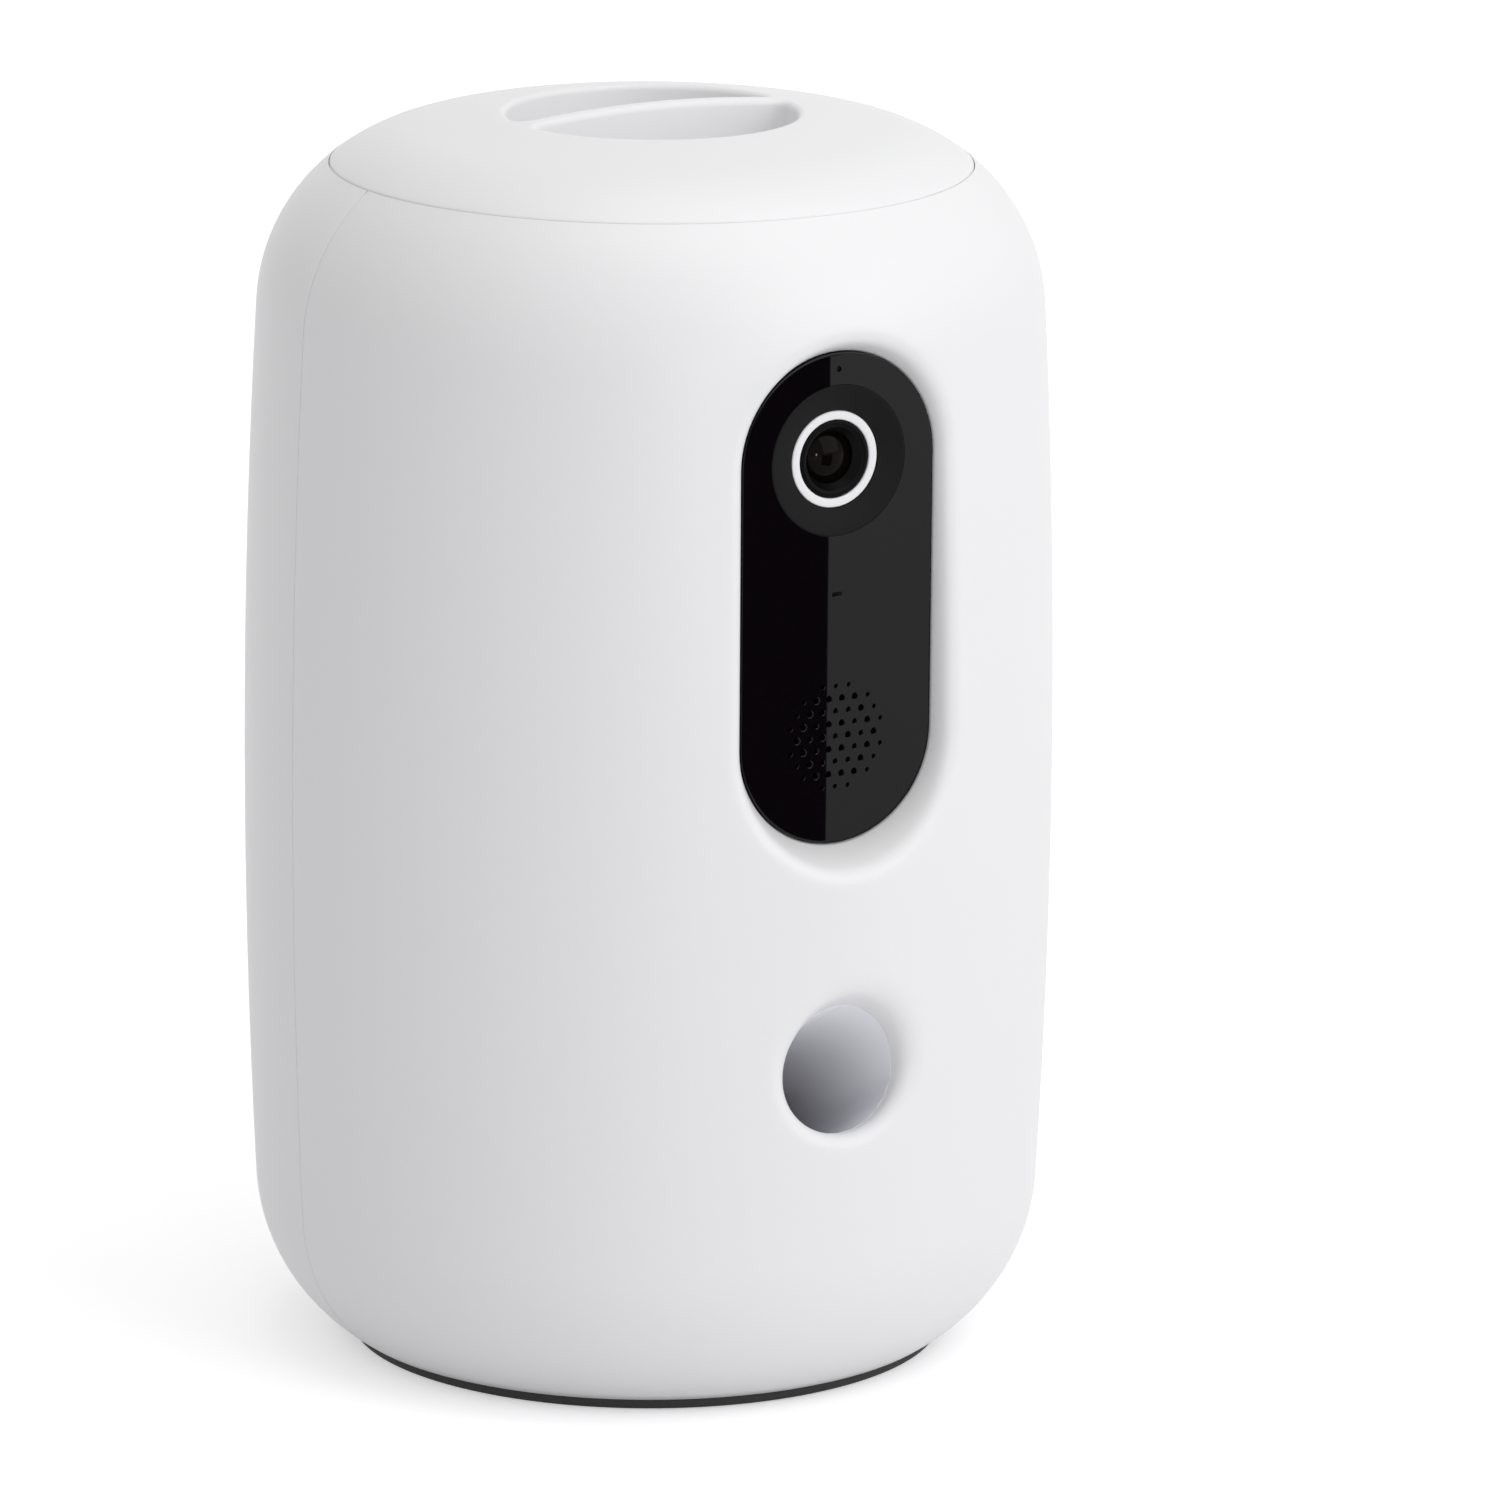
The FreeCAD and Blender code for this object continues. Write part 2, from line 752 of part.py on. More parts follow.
# Treat hopper: bin, funnel and the well of the feed wheel
def slopes(name, sides, low, high, rise, point):
    """A solid with flat sloping sides, from a polygon of radius low up to one of radius high."""
    rings = []
    for radius, height in ((float(low), 0), (float(high), float(rise))):
        turns = [2 * math.pi * step / sides for step in range(sides)]
        rings.append([Vector(math.cos(a) * radius, math.sin(a) * radius, height) for a in turns])
    faces = [Part.Face(Part.makePolygon(ring + ring[:1])) for ring in rings]
    for index in range(sides):
        after = (index + 1) % sides
        corners = [rings[0][index], rings[0][after], rings[1][after], rings[1][index]]
        faces.append(Part.Face(Part.makePolygon(corners + corners[:1])))
    form = doc.addObject("Part::Feature", name)
    form.Shape = Part.Solid(Part.Shell(faces))
    return at(form, point)


def hopper_form(name, grow, floor, curved):
    """The hopper's hollow, or its outside when grown by the wall: a bin with a flat front, a funnel whose
    sides slope at 45 degrees, and the well below it. The hollow is round, the outside has flats."""
    rise = 30
    radius, well_radius = d.hopper_radius - d.hopper_wall + grow, d.well_radius + grow

    def upright(label, width, length, point):
        if curved:
            return rod(name + label, width, length, point)
        return prism(name + label, flats_outside(width), length, point, "Z", d.hidden_sides)

    sides = 12
    spread = (float(well_radius) + float(grow) * 0.4) / math.cos(math.pi / sides)
    funnel = slopes(name + "Funnel", sides, spread, spread + rise, rise, (0, d.feed_back, well_top))
    drum = upright("Bin", radius, 130, (0, 0, well_top - 5))
    upper = block(name + "Upper", (-REACH, REACH), (-REACH, REACH), (well_top + rise, REACH * 2))
    well = upright("Well", well_radius, well_top - floor, (0, d.feed_back, floor))
    front = -(d.hopper_front - d.hopper_wall + grow)
    room = block(name + "Room", (-REACH, REACH), (front, REACH), (floor, flange_top))
    bin_part = common(name + "BinPart", drum, fuse(name + "Slopes", funnel, upper))
    return common(name, fuse(name + "Whole", bin_part, well), room)


gear_way = math.radians(160)
train = [Vector(0, float(d.feed_back), 0)]
for first, second in ((d.feed_teeth, d.idler_teeth), (d.idler_teeth, d.pinion_teeth)):
    reach = float(d.gear_module * (first + second) / 2)
    train.append(train[-1] + Vector(math.cos(gear_way), math.sin(gear_way), 0) * reach)
feed_axis, idler_axis, pinion_axis = [(round(p.x, 4), round(p.y, 4)) for p in train]
pillar_places = [(13, 16), (-14, -0.5), (-20, 31.5)]
key_places = (-1, 1)
collar_height = d.hopper_top - flange_top
treat_hopper = cut(
    "TreatHopper",
    fuse(
        "HopperSolid",
        hopper_form("HopperOutside", d.hopper_wall, deck_bottom, False),
        prism("HopperFlange", d.flange_radius, d.flange_thick, (0, 0, d.flange_height), "Z", d.shown_sides),
        prism("HopperCollar", d.hopper_radius, collar_height, (0, 0, flange_top), "Z", d.shown_sides),
    ),
    hopper_form("HopperInside", 0, d.well_floor, True),
    rod("CollarBore", d.hopper_radius - d.hopper_wall, 20, (0, 0, flange_top)),
    rod("DropHole", d.drop_radius, 6, (0, drop_y, deck_bottom - 1)),
    rod("BushHole", 4, 6, (*feed_axis, deck_bottom - 1)),
    *pegs("FlangeHole", 1.5, 6, flange_places, d.flange_height - 1),
    *pegs("PillarHole", 1.2, 2, pillar_places, deck_bottom),
    *[
        block(
            f"KeyNotch{side}",
            (side * 54 - 3, side * 54 + 3),
            (-d.key_width / 2 - 0.4, d.key_width / 2 + 0.4),
            (d.hopper_top - d.key_drop - 0.6, d.hopper_top + 1),
        )
        for side in key_places
    ],
)
node(treat_hopper, "treat_hopper")
screws("flange_screws", [(x, y, d.flange_height) for x, y in flange_places], "Z", 7.4)
guard_sector = padded(
    "GuardSector",
    [(0, 0), (-30, -60), (30, -60)],
    "XY_Plane",
    2,
)
at(guard_sector, (0, d.feed_back, well_top - 0.4))
guard_ring = ring("GuardRing", d.well_radius, 10, 2, (*feed_axis, well_top - 0.4))
node(common("DropGuard", guard_ring, guard_sector), "drop_guard")

# Feed wheel with its shaft, gear and stirrer
wheel_bottom = d.well_floor + 0.4
wheel_top = wheel_bottom + d.vane_height


def star(name, hub, tip, thick, height, count, bore):
    """A hub with flat vanes around it."""
    body = doc.addObject("PartDesign::Body", name)
    disc = sketch_on(body, name + "HubOutline", "XY_Plane")
    for radius in (hub, bore):
        circle = disc.addGeometry(Part.Circle(Vector(), Vector(0, 0, 1), float(radius)))
        disc.addConstraint(Sketcher.Constraint("Coincident", circle, 3, -1, 1))
        index = disc.addConstraint(Sketcher.Constraint("Radius", circle, float(radius)))
        bind(disc, f"Constraints[{index}]", radius)
    core = body.newObject("PartDesign::Pad", name + "Hub")
    core.Profile = disc
    bind(core, "Length", height)
    half = thick / 2
    vane = sketch_on(body, name + "VaneOutline", "XY_Plane")
    draw(vane, [(bore + 1, -half), (tip, -half), (tip, half), (bore + 1, half)])
    blade = body.newObject("PartDesign::Pad", name + "Vane")
    blade.Profile = vane
    bind(blade, "Length", height)
    doc.recompute()
    pattern = body.newObject("PartDesign::PolarPattern", name + "Vanes")
    pattern.Originals = [blade]
    pattern.Axis = (disc, ["N_Axis"])
    pattern.Angle = 360
    bind(pattern, "Occurrences", count)
    body.Tip = pattern
    return body


def gear(name, teeth, bore, turn, point):
    """A spur gear with straight-flanked teeth, thinned by the backlash."""
    pitch = d.gear_module * teeth / 2
    root, tip = pitch - d.gear_module * d.tooth_foot, pitch + d.gear_module * d.tooth_top
    body = doc.addObject("PartDesign::Body", name)
    disc = sketch_on(body, name + "DiscOutline", "XY_Plane")
    for radius in (root, bore):
        circle = disc.addGeometry(Part.Circle(Vector(), Vector(0, 0, 1), float(radius)))
        disc.addConstraint(Sketcher.Constraint("Coincident", circle, 3, -1, 1))
        index = disc.addConstraint(Sketcher.Constraint("Radius", circle, float(radius)))
        bind(disc, f"Constraints[{index}]", radius)
    core = body.newObject("PartDesign::Pad", name + "Disc")
    core.Profile = disc
    bind(core, "Length", d.gear_thick)
    waist = d.gear_module * math.pi / 4 - d.backlash / 2
    lean = math.tan(math.radians(20))
    base, crest = waist + d.gear_module * d.tooth_foot * lean, waist - d.gear_module * d.tooth_top * lean
    inside = root - 0.5
    tooth = sketch_on(body, name + "ToothOutline", "XY_Plane")
    draw(tooth, [(inside, -base), (root, -base), (tip, -crest), (tip, crest), (root, base), (inside, base)])
    raised = body.newObject("PartDesign::Pad", name + "Tooth")
    raised.Profile = tooth
    bind(raised, "Length", d.gear_thick)
    doc.recompute()
    pattern = body.newObject("PartDesign::PolarPattern", name + "Teeth")
    pattern.Originals = [raised]
    pattern.Axis = (disc, ["N_Axis"])
    pattern.Angle = 360
    bind(pattern, "Occurrences", teeth)
    body.Tip = pattern
    return at(body, (*point, d.gear_bottom), Rotation(Vector(0, 0, 1), turn))


wheel = star("FeedStar", d.feed_hub, d.vane_radius, d.vane_thick, d.vane_height, d.vane_count, d.feed_shaft)
at(wheel, (*feed_axis, wheel_bottom), Rotation(Vector(0, 0, 1), 30))
node(wheel, "feed_wheel")
shaft_length = wheel_top + 3 - bracket_bottom
node(rod("FeedShaft", d.feed_shaft, shaft_length, (*feed_axis, bracket_bottom)), "feed_shaft")
node(gear("FeedGear", d.feed_teeth, d.feed_shaft, 160, feed_axis), "feed_gear")
node(ring("FeedBush", 4, d.feed_shaft + d.run_gap, d.floor_thick, (*feed_axis, deck_bottom)), "feed_bush")
stirrer_arm = padded(
    "StirrerArm",
    [(-3, 0), (3, 0), (24, 7), (24, 9.5), (0, 4), (-24, 9.5), (-24, 7)],
    "XZ_Plane",
    4,
)
at(stirrer_arm, (feed_axis[0], d.feed_back + 2, wheel_top + 4))
stirrer = cut(
    "Stirrer",
    fuse("StirrerSolid", rod("StirrerHub", 4.5, 7, (*feed_axis, wheel_top)), stirrer_arm),
    rod("StirrerBore", d.feed_shaft, 3, (*feed_axis, wheel_top)),
)
node(stirrer, "stirrer")

# Gear train: idler, pinion, bracket and motor below the hopper
node(gear("IdlerGear", d.idler_teeth, 1.5 + d.run_gap, 160 + 9, idler_axis), "idler_gear")
node(rod("IdlerPin", 1.5, deck_bottom - bracket_bottom, (*idler_axis, bracket_bottom)), "idler_pin")
pinion = gear("PinionGear", d.pinion_teeth, 1, 160 + 180, pinion_axis)
pinion_shaft = rod("PinionShaft", 1.5, gear_top - bracket_bottom + 3, (*pinion_axis, bracket_bottom - 3))
node(fuse("FeedPinion", pinion, pinion_shaft), "feed_pinion")
bracket_outline = padded(
    "BracketOutline",
    [(18, 12), (16, 21), (-18, 35), (-29, 35), (-44, 22), (-42, 8), (-18, -5), (-6, -3), (8, 0)],
    "XY_Plane",
    2,
    bracket_bottom,
)
motor_way = Vector(math.cos(gear_way - math.pi / 2), math.sin(gear_way - math.pi / 2), 0)
motor_screw_places = [
    (pinion_axis[0] + way * motor_way.x, pinion_axis[1] + way * motor_way.y) for way in (-8.3, 8.3)
]
bracket = cut(
    "GearBracket",
    fuse(
        "BracketSolid",
        bracket_outline,
        *pegs("Pillar", 2.9, deck_bottom - bracket_top, pillar_places, bracket_top),
    ),
    rod("BracketFeedHole", d.feed_shaft + d.run_gap, 4, (*feed_axis, bracket_bottom - 1)),
    prism("BracketIdlerHole", 1.56, 4, (*idler_axis, bracket_bottom - 1), sides=12),
    prism("BracketPinionHole", 3, 4, (*pinion_axis, bracket_bottom - 1), sides=12),
    *pegs("BracketHole", 1.3, 20, pillar_places, bracket_bottom - 1),
    *pegs("MotorHole", 1.3, 4, motor_screw_places, bracket_bottom - 1),
)
node(bracket, "gear_bracket")
screws("bracket_screws", [(x, y, bracket_bottom) for x, y in pillar_places], "Z", 13)
feed_motor = cut(
    "FeedMotor",
    prism("FeedMotorCan", 11, 28, (*pinion_axis, bracket_bottom - 28), sides=d.hidden_sides),
    prism("FeedMotorBore", 1.7, 6, (*pinion_axis, bracket_bottom - 6), sides=12),
    *pegs("FeedMotorHole", 1.2, 4, motor_screw_places, bracket_bottom - 4),
)
node(feed_motor, "feed_motor")
screws(
    "feed_motor_screws",
    [(x, y, bracket_top) for x, y in motor_screw_places],
    "-Z",
    5,
    head=2,
    head_thick=1.2,
)

# Tosser: snail housing in two halves, paddle wheel, motor
casing_room = prism("TubeRoom", inner_radius - 0.06, 2 * REACH, (0, 0, 0), sides=d.hidden_sides)
drum_outer = d.drum_radius + d.drum_wall
side_out = d.drum_half + d.drum_wall
drum_centre = (drum_y, d.drum_height)
drum_wide = 2 * d.drum_half
boss_spots = [(14.5, 65.5), (14.5, 24.5), (-33, 60)]
drop_outer = d.drop_radius + d.tube_wall
drop_foot = d.drum_height + 12
motor_ear_places = [(drum_y - 15.5, d.drum_height), (drum_y + 15.5, d.drum_height)]
leg_outline = [
    (drum_y - 16, plate_top),
    (drum_y + 20, plate_top),
    (drum_y + 17, d.drum_height - 8),
    (drum_y - 19, d.drum_height - 18),
]


def leg(name, sign):
    near, far = (d.drum_half, side_out) if sign > 0 else (-side_out, -d.drum_half)
    web = padded(name + "Web", leg_outline, "YZ_Plane", d.drum_wall, near)
    foot_span = (d.drum_half, 23) if sign > 0 else (-23, -d.drum_half)
    foot = block(name + "Foot", foot_span, (drum_y - 16, drum_y + 20), (plate_top, plate_top + 3.5))
    return [web, foot]


def tosser_half(name, sign):
    """One half of the drum, the sloping tube and the drop tube, parted on the middle plane."""
    span = (0, REACH) if sign > 0 else (-REACH, 0)
    half_room = block(name + "Room", span, (-REACH, REACH), (-REACH, REACH))
    solid = fuse(
        name + "Solid",
        prism(name + "Drum", drum_outer, 2 * side_out, (-side_out, *drum_centre), "X", d.hidden_sides),
        common(name + "Tube", slanted(name + "TubeOuter", tube_outer, -75, drum_y - 4), casing_room),
        prism(name + "Drop", drop_outer, deck_bottom - drop_foot, (0, drop_y, drop_foot), "Z", 16),
        *pegs(name + "Boss", 3.2, 16, boss_spots, -8, "X"),
        *leg(name + "Leg", sign),
    )
    bore = 3.5 if sign < 0 else 5
    return cut(
        name,
        common(name + "Part", solid, half_room),
        prism(name + "Hollow", d.drum_radius, drum_wide, (-d.drum_half, *drum_centre), "X", d.shown_sides),
        slanted(name + "TubeInner", d.mouth_radius, -85, drum_y - 8),
        prism(name + "DropInner", d.drop_radius, REACH, (0, drop_y, d.drum_height), "Z", 16),
        rod(name + "ShaftHole", bore, 8, (side_out * sign - 4, *drum_centre), "X"),
        *pegs(name + "Hole", 1.3, 30, boss_spots, -7 if sign > 0 else -6.5, "X"),
        *pegs(name + "EarHole", 1.2, 6, motor_ear_places, side_out - 2.4, "X"),
        *pegs(name + "FootHole", 1.2, 6, leg_places, plate_top),
    )


node(tosser_half("TosserLeft", -1), "tosser_housing_left")
node(tosser_half("TosserRight", 1), "tosser_housing_right")
screws("tosser_screws", [(9.7, y, z) for y, z in boss_spots], "-X", 14, head=2)
node(ring("TossBush", 3.5, d.toss_shaft + d.run_gap, 5, (-side_out - 2, *drum_centre), "X"), "toss_bush")
node(rod("TossShaft", d.toss_shaft, side_out * 2 + 5, (-side_out - 2, *drum_centre), "X"), "toss_shaft")
paddle_half = d.drum_half - 0.8
paddle_count = int(float(d.paddle_count))
paddle_slots = [
    block(f"PaddleSlot{n}", (-20, 20), (3.4, 30), (-d.paddle_thick / 2, d.paddle_thick / 2))
    for n in range(paddle_count)
]


def around_shaft(obj, turn):
    """Turns a piece modelled about the origin's X axis and moves it onto the toss shaft."""
    home = Vector(0, float(drum_y), float(d.drum_height))
    return moved(obj, Placement(home, Rotation(Vector(1, 0, 0), turn)))


hub = ring("TossHubRing", d.paddle_hub, d.toss_shaft, 2 * paddle_half, (-paddle_half, *drum_centre), "X")
turns = [index * 360 / paddle_count + 20 for index in range(paddle_count)]
slots = [around_shaft(slot, turn) for slot, turn in zip(paddle_slots, turns)]
node(cut("TossHub", hub, *slots), "toss_hub")
paddles = []
for index, turn in enumerate(turns):
    flap = block(
        f"Paddle{index}",
        (-paddle_half, paddle_half),
        (3.5, d.paddle_radius),
        (-d.paddle_thick / 2 + 0.02, d.paddle_thick / 2 - 0.02),
    )
    paddles.append(around_shaft(flap, turn))
node(group("TossPaddles", paddles), "toss_paddles")
ears = padded(
    "TossMotorEars",
    [(-19, -6), (19, -6), (19, 6), (-19, 6)],
    "YZ_Plane",
    2,
)
at(ears, (side_out, *drum_centre))
toss_motor = cut(
    "TossMotor",
    fuse(
        "TossMotorSolid",
        ears,
        prism("TossMotorCan", 12, 29, (side_out, *drum_centre), "X", sides=d.hidden_sides),
    ),
    prism("TossMotorBore", 1.7, 5, (side_out, *drum_centre), "X", sides=12),
    *pegs("EarHole", 1.3, 4, motor_ear_places, side_out - 1, "X"),
)
node(toss_motor, "toss_motor")
screws(
    "toss_motor_screws",
    [(side_out + 2, y, z) for y, z in motor_ear_places],
    "-X",
    4.2,
    head=2,
    head_thick=1.3,
)


# Front panel, camera and sound
def grille_places():
    """Centres of the sound holes: a hexagon of five rows a side without its corners, and hole sizes
    that change from ring to ring."""
    sizes = [d.hole_middle, d.hole_large, d.hole_middle, d.hole_large, d.hole_small]
    places = []
    for column in range(-4, 5):
        for row in range(-4, 5):
            rings = max(abs(column), abs(row), abs(column + row))
            corner = rings == 4 and 0 in (column, row, column + row)
            if rings <= 4 and not corner:
                x, z = column + row / 2, row * math.sqrt(3) / 2
                places.append((x * d.hole_pitch, panel_low + z * d.hole_pitch, sizes[rings]))
    return places


panel_holes = [
    prism(f"SoundHole{n}", radius, 4, (x, panel_back + 1, z), "-Y")
    for n, (x, z, radius) in enumerate(grille_places())
]
front_panel = cut(
    "FrontPanel",
    pill("PanelPlate", d.panel_half, panel_top, panel_low, panel_back, d.panel_thick),
    prism("CameraHole", d.bezel_radius + 0.05, 4, (0, panel_back + 1, panel_top), "-Y", 32),
    prism("MicHole", d.mic_radius, 4, (0, panel_back + 1, d.mic_height), "-Y"),
    block(
        "LampSlot",
        (-d.lamp_width / 2, d.lamp_width / 2),
        (front_plane - 1, panel_back + 1),
        (d.lamp_height - d.lamp_slot / 2, d.lamp_height + d.lamp_slot / 2),
    ),
    *panel_holes,
)
node(front_panel, "front_panel")
board_reach = front_plane * -1 + camera_board_front
ring_face = board_reach - d.bezel_depth
LENS_SIDES = 32


def facing(name, radius, back, front, height=None):
    """A round piece of many flats that faces forward, from its back to its front by the camera board."""
    place = (0, camera_board_front - back, height or panel_top)
    return prism(name, radius, front - back, place, "-Y", LENS_SIDES)


dish = slopes("Dish", LENS_SIDES, d.light_outer, d.bezel_radius, d.bezel_depth, (0, 0, 0))
dish.Placement = Placement(Vector(0, float(camera_board_front - ring_face), float(panel_top)), AXES["-Y"])
bezel = cut(
    "CameraBezel",
    facing("BezelBlock", d.bezel_radius, board_reach - 8, board_reach),
    facing("BezelBore", d.light_outer, 0, board_reach),
    dish,
)
node(bezel, "camera_bezel")
light = cut(
    "LightRing",
    facing("LightDisc", d.light_outer - 0.05, ring_face - 5, ring_face),
    facing("LightBore", d.light_inner, 0, board_reach),
)
node(light, "light_ring")
barrel = cut(
    "LensBarrel",
    facing("BarrelBlock", d.barrel_radius, 0, ring_face - 0.1),
    facing("BarrelBore", d.lens_radius, ring_face - 4, board_reach),
)
node(barrel, "lens_barrel")
node(facing("LensGlass", d.lens_radius - 0.05, ring_face - 4, ring_face - 1.9), "lens_glass")
camera_board = cut(
    "CameraBoard",
    block("CameraBoardPlate", (-24, 24), (camera_board_front, camera_board_back), (147, 190)),
    *pegs("CameraBoardHole", 1.3, 4, camera_posts, camera_board_front + 3, "-Y"),
)
node(camera_board, "camera_board")
screws(
    "camera_board_screws",
    [(x, camera_board_back, z) for x, z in camera_posts],
    "-Y",
    7,
    thread=0.8,
)
lamp = block(
    "IndicatorLens",
    (-d.lamp_width / 2 + 0.03, d.lamp_width / 2 - 0.03),
    (front_plane + 0.05, camera_board_front),
    (d.lamp_height - d.lamp_slot / 2 + 0.03, d.lamp_height + d.lamp_slot / 2 - 0.03),
)
node(lamp, "indicator_lens")
node(prism("Microphone", 1.2, 1.6, (0, panel_back + 1.6, d.mic_height), "-Y", 12), "microphone")
speaker_back = panel_back + 7.9


def sounding(name, radius, back, front):
    place = (0, speaker_back - back, panel_low)
    return prism(name, radius, size(front) - back, place, "-Y", 16)


speaker_frame = cut(
    "SpeakerFrame",
    sounding("SpeakerBasket", d.speaker_radius, 0, 7.7),
    sounding("SpeakerRoom", d.speaker_radius - 1.6, 1.5, 9),
)
node(speaker_frame, "speaker_frame")
node(sounding("SpeakerCone", d.speaker_radius - 1.7, 5, 5.6), "speaker_cone")
node(sounding("SpeakerMagnet", d.speaker_magnet, -6, 0), "speaker_magnet")

# Main board, rear sockets and reset button
main_board = cut(
    "MainBoard",
    block("MainBoardPlate", (-27, 27), (24, 53.8), (d.board_height, board_top)),
    *pegs("BoardHole", 1.3, 4, post_places, d.board_height - 1),
)
node(main_board, "main_board")
screws("board_screws", [(x, y, board_top) for x, y in post_places], "-Z", 6.5, thread=0.8)
chips = [
    block("RadioModule", (-9, 9), (37, 51), (board_top, board_top + 2.6)),
    block("Processor", (-5, 6), (25.5, 35.5), (board_top, board_top + 1.2)),
    prism("CapacitorLeft", 3.2, 9, (-15, 46, board_top), sides=12),
    prism("CapacitorRight", 3.2, 9, (13.5, 45, board_top), sides=12),
]
node(group("BoardComponents", chips), "board_components")
inlet = cut(
    "PowerInlet",
    block(
        "InletShell",
        (-d.inlet_width / 2, d.inlet_width / 2),
        (52.5, d.inlet_face - 0.2),
        (board_top, board_top + d.inlet_height),
    ),
    block("InletMouth", (-3.9, 3.9), (55, d.inlet_face + 1), (socket_height - 1.05, socket_height + 1.05)),
)
tongue_pin = block(
    "InletTongue",
    (-3.2, 3.2),
    (54, d.inlet_face - 1.2),
    (socket_height - 0.35, socket_height + 0.35),
)
node(fuse("PowerInletWhole", inlet, tongue_pin), "power_inlet")
node(
    block("ResetSwitch", (d.reset_side - 3, d.reset_side + 3), (48.5, 53.9), (board_top, board_top + 4)),
    "reset_switch",
)
reset_button = fuse(
    "ResetButton",
    rod("ResetStem", d.reset_radius, d.inlet_face + 0.6 - 54.9, (d.reset_side, 54.9, socket_height), "Y"),
    prism("ResetFlange", d.reset_radius + 1, 1, (d.reset_side, 57.4, socket_height), "Y", 12),
)
node(reset_button, "reset_button")


# Leads, flat strips inside the casing
def strip(name, points, thick, span):
    """A flat lead that follows points in a plane across the casing, between the two sides of span."""
    spots = [Vector(0, float(y), float(z)) for y, z in points]
    sides = []
    for sign in (1, -1):
        side = []
        for index, spot in enumerate(spots):
            before = spots[index] - spots[index - 1] if index else spots[1] - spots[0]
            after = spots[index + 1] - spots[index] if index < len(spots) - 1 else before
            first, second = before.normalize(), after.normalize()
            normal = Vector(0, -(first.z + second.z), first.y + second.y).normalize()
            square = Vector(0, -first.z, first.y)
            side.append(spot + normal * (sign * thick / 2 / normal.dot(square)))
        sides.append(side)
    wire = Part.makePolygon(sides[0] + sides[1][::-1] + [sides[0][0]])
    lead = doc.addObject("Part::Feature", name)
    lead.Shape = Part.Face(wire).extrude(Vector(span[1] - span[0], 0, 0))
    lead.Placement = Placement(Vector(span[0], 0, 0), Rotation())
    return lead


lead_low = 21.5
board_landing = [(26, lead_low), (31.5, 20), (33, float(board_top) + 0.15)]
front_drop = [(-44.5, 40), (-43, 27), (-37, lead_low)]
camera_route = [(-46.7, 151), (-45, 149), (-44.5, 145), (-44.5, 90)] + front_drop + board_landing
speaker_route = [(-47.5, 112), (-45.5, 106), (-44.5, 100)] + front_drop + board_landing
toss_route = [(-6, 32.4), (-5, 27), (0, lead_low)] + board_landing
feed_route = [(19.4, bracket_bottom - 28.3), (19.4, 27), (21.5, 23), (25, lead_low), (31.5, 19)]
feed_route.append((33, board_top + 0.4))
node(strip("CameraRibbon", camera_route, 0.4, (-23, -16.5)), "camera_ribbon")
node(strip("SpeakerLead", speaker_route, 1.2, (20.6, 23)), "speaker_lead")
node(strip("TossMotorLead", toss_route, 1.2, (16.6, 19)), "toss_motor_lead")
node(strip("FeedMotorLead", feed_route, 1.2, (-26.6, -24.2)), "feed_motor_lead")

# Lid: cover with its grip, liner, seal and screws
lid_cylinder = rod("LidRoom", d.lid_radius, 40, (0, 0, d.lid_bottom))
lid_ceiling = 216
lid_hollow = prism(
    "LidHollow",
    d.lid_radius - d.lid_skirt,
    lid_ceiling - d.lid_bottom + 1,
    (0, 0, d.lid_bottom - 1),
    sides=d.hidden_sides,
)
cup_radius = d.grip_radius + d.grip_wall
cup_foot = d.grip_floor - d.grip_wall
cup = prism("GripCup", flats_outside(cup_radius), 20, (0, 0, cup_foot), "Z", d.hidden_sides)
pocket = rod("GripPocket", d.grip_radius, 20, (0, 0, d.grip_floor))
bar = padded(
    "GripBar",
    [(-d.bar_foot / 2, 0), (d.bar_foot / 2, 0), (d.bar_top / 2, 20), (-d.bar_top / 2, 20)],
    "YZ_Plane",
    2 * d.grip_radius + 1,
)
at(bar, (-d.grip_radius - 0.5, 0, d.grip_floor - 0.5))
lid_post_places = [(x, y) for x in (-d.lid_post_spread - 9, d.lid_post_spread + 9) for y in (-18, 18)]
lid_posts = group("LidPostRods", pegs("LidPost", 3, 12, lid_post_places, d.lid_bottom))
lid_cover = cut(
    "LidCover",
    fuse(
        "LidSolid",
        cut(
            "LidShell",
            fuse(
                "LidBulk",
                cut("LidSkin", common("LidOuter", outer_solid, lid_cylinder), lid_hollow),
                common("LidCup", outer_solid, cup),
            ),
            pocket,
        ),
        common("LidBar", outer_solid, bar),
        common("LidPosts", outer_solid, lid_posts),
    ),
    *pegs("LidPostHole", 1.3, 4.5, lid_post_places, d.lid_bottom),
)
node(lid_cover, "lid_cover")
liner_top = d.liner_bottom + d.liner_wall
key_span = (-d.key_width / 2, d.key_width / 2)
key_foot = d.lid_bottom - d.key_drop
liner = cut(
    "LidLiner",
    fuse(
        "LinerSolid",
        prism("LinerPlate", d.liner_radius, d.liner_wall, (0, 0, d.liner_bottom), sides=d.hidden_sides),
        *pegs("LinerPost", 3, d.lid_bottom - liner_top, lid_post_places, liner_top),
        *[
            block(f"KeyRoot{side}", (side * 48 - 2, side * 48 + 2), key_span, (liner_top, d.lid_bottom))
            for side in key_places
        ],
        *[
            block(f"LidKey{side}", (side * 51.5 - 2.6, side * 51.5 + 2.6), key_span, (key_foot, d.lid_bottom))
            for side in key_places
        ],
    ),
    *pegs("LinerHole", 1.5, 12, lid_post_places, d.liner_bottom - 1),
)
node(liner, "lid_liner")
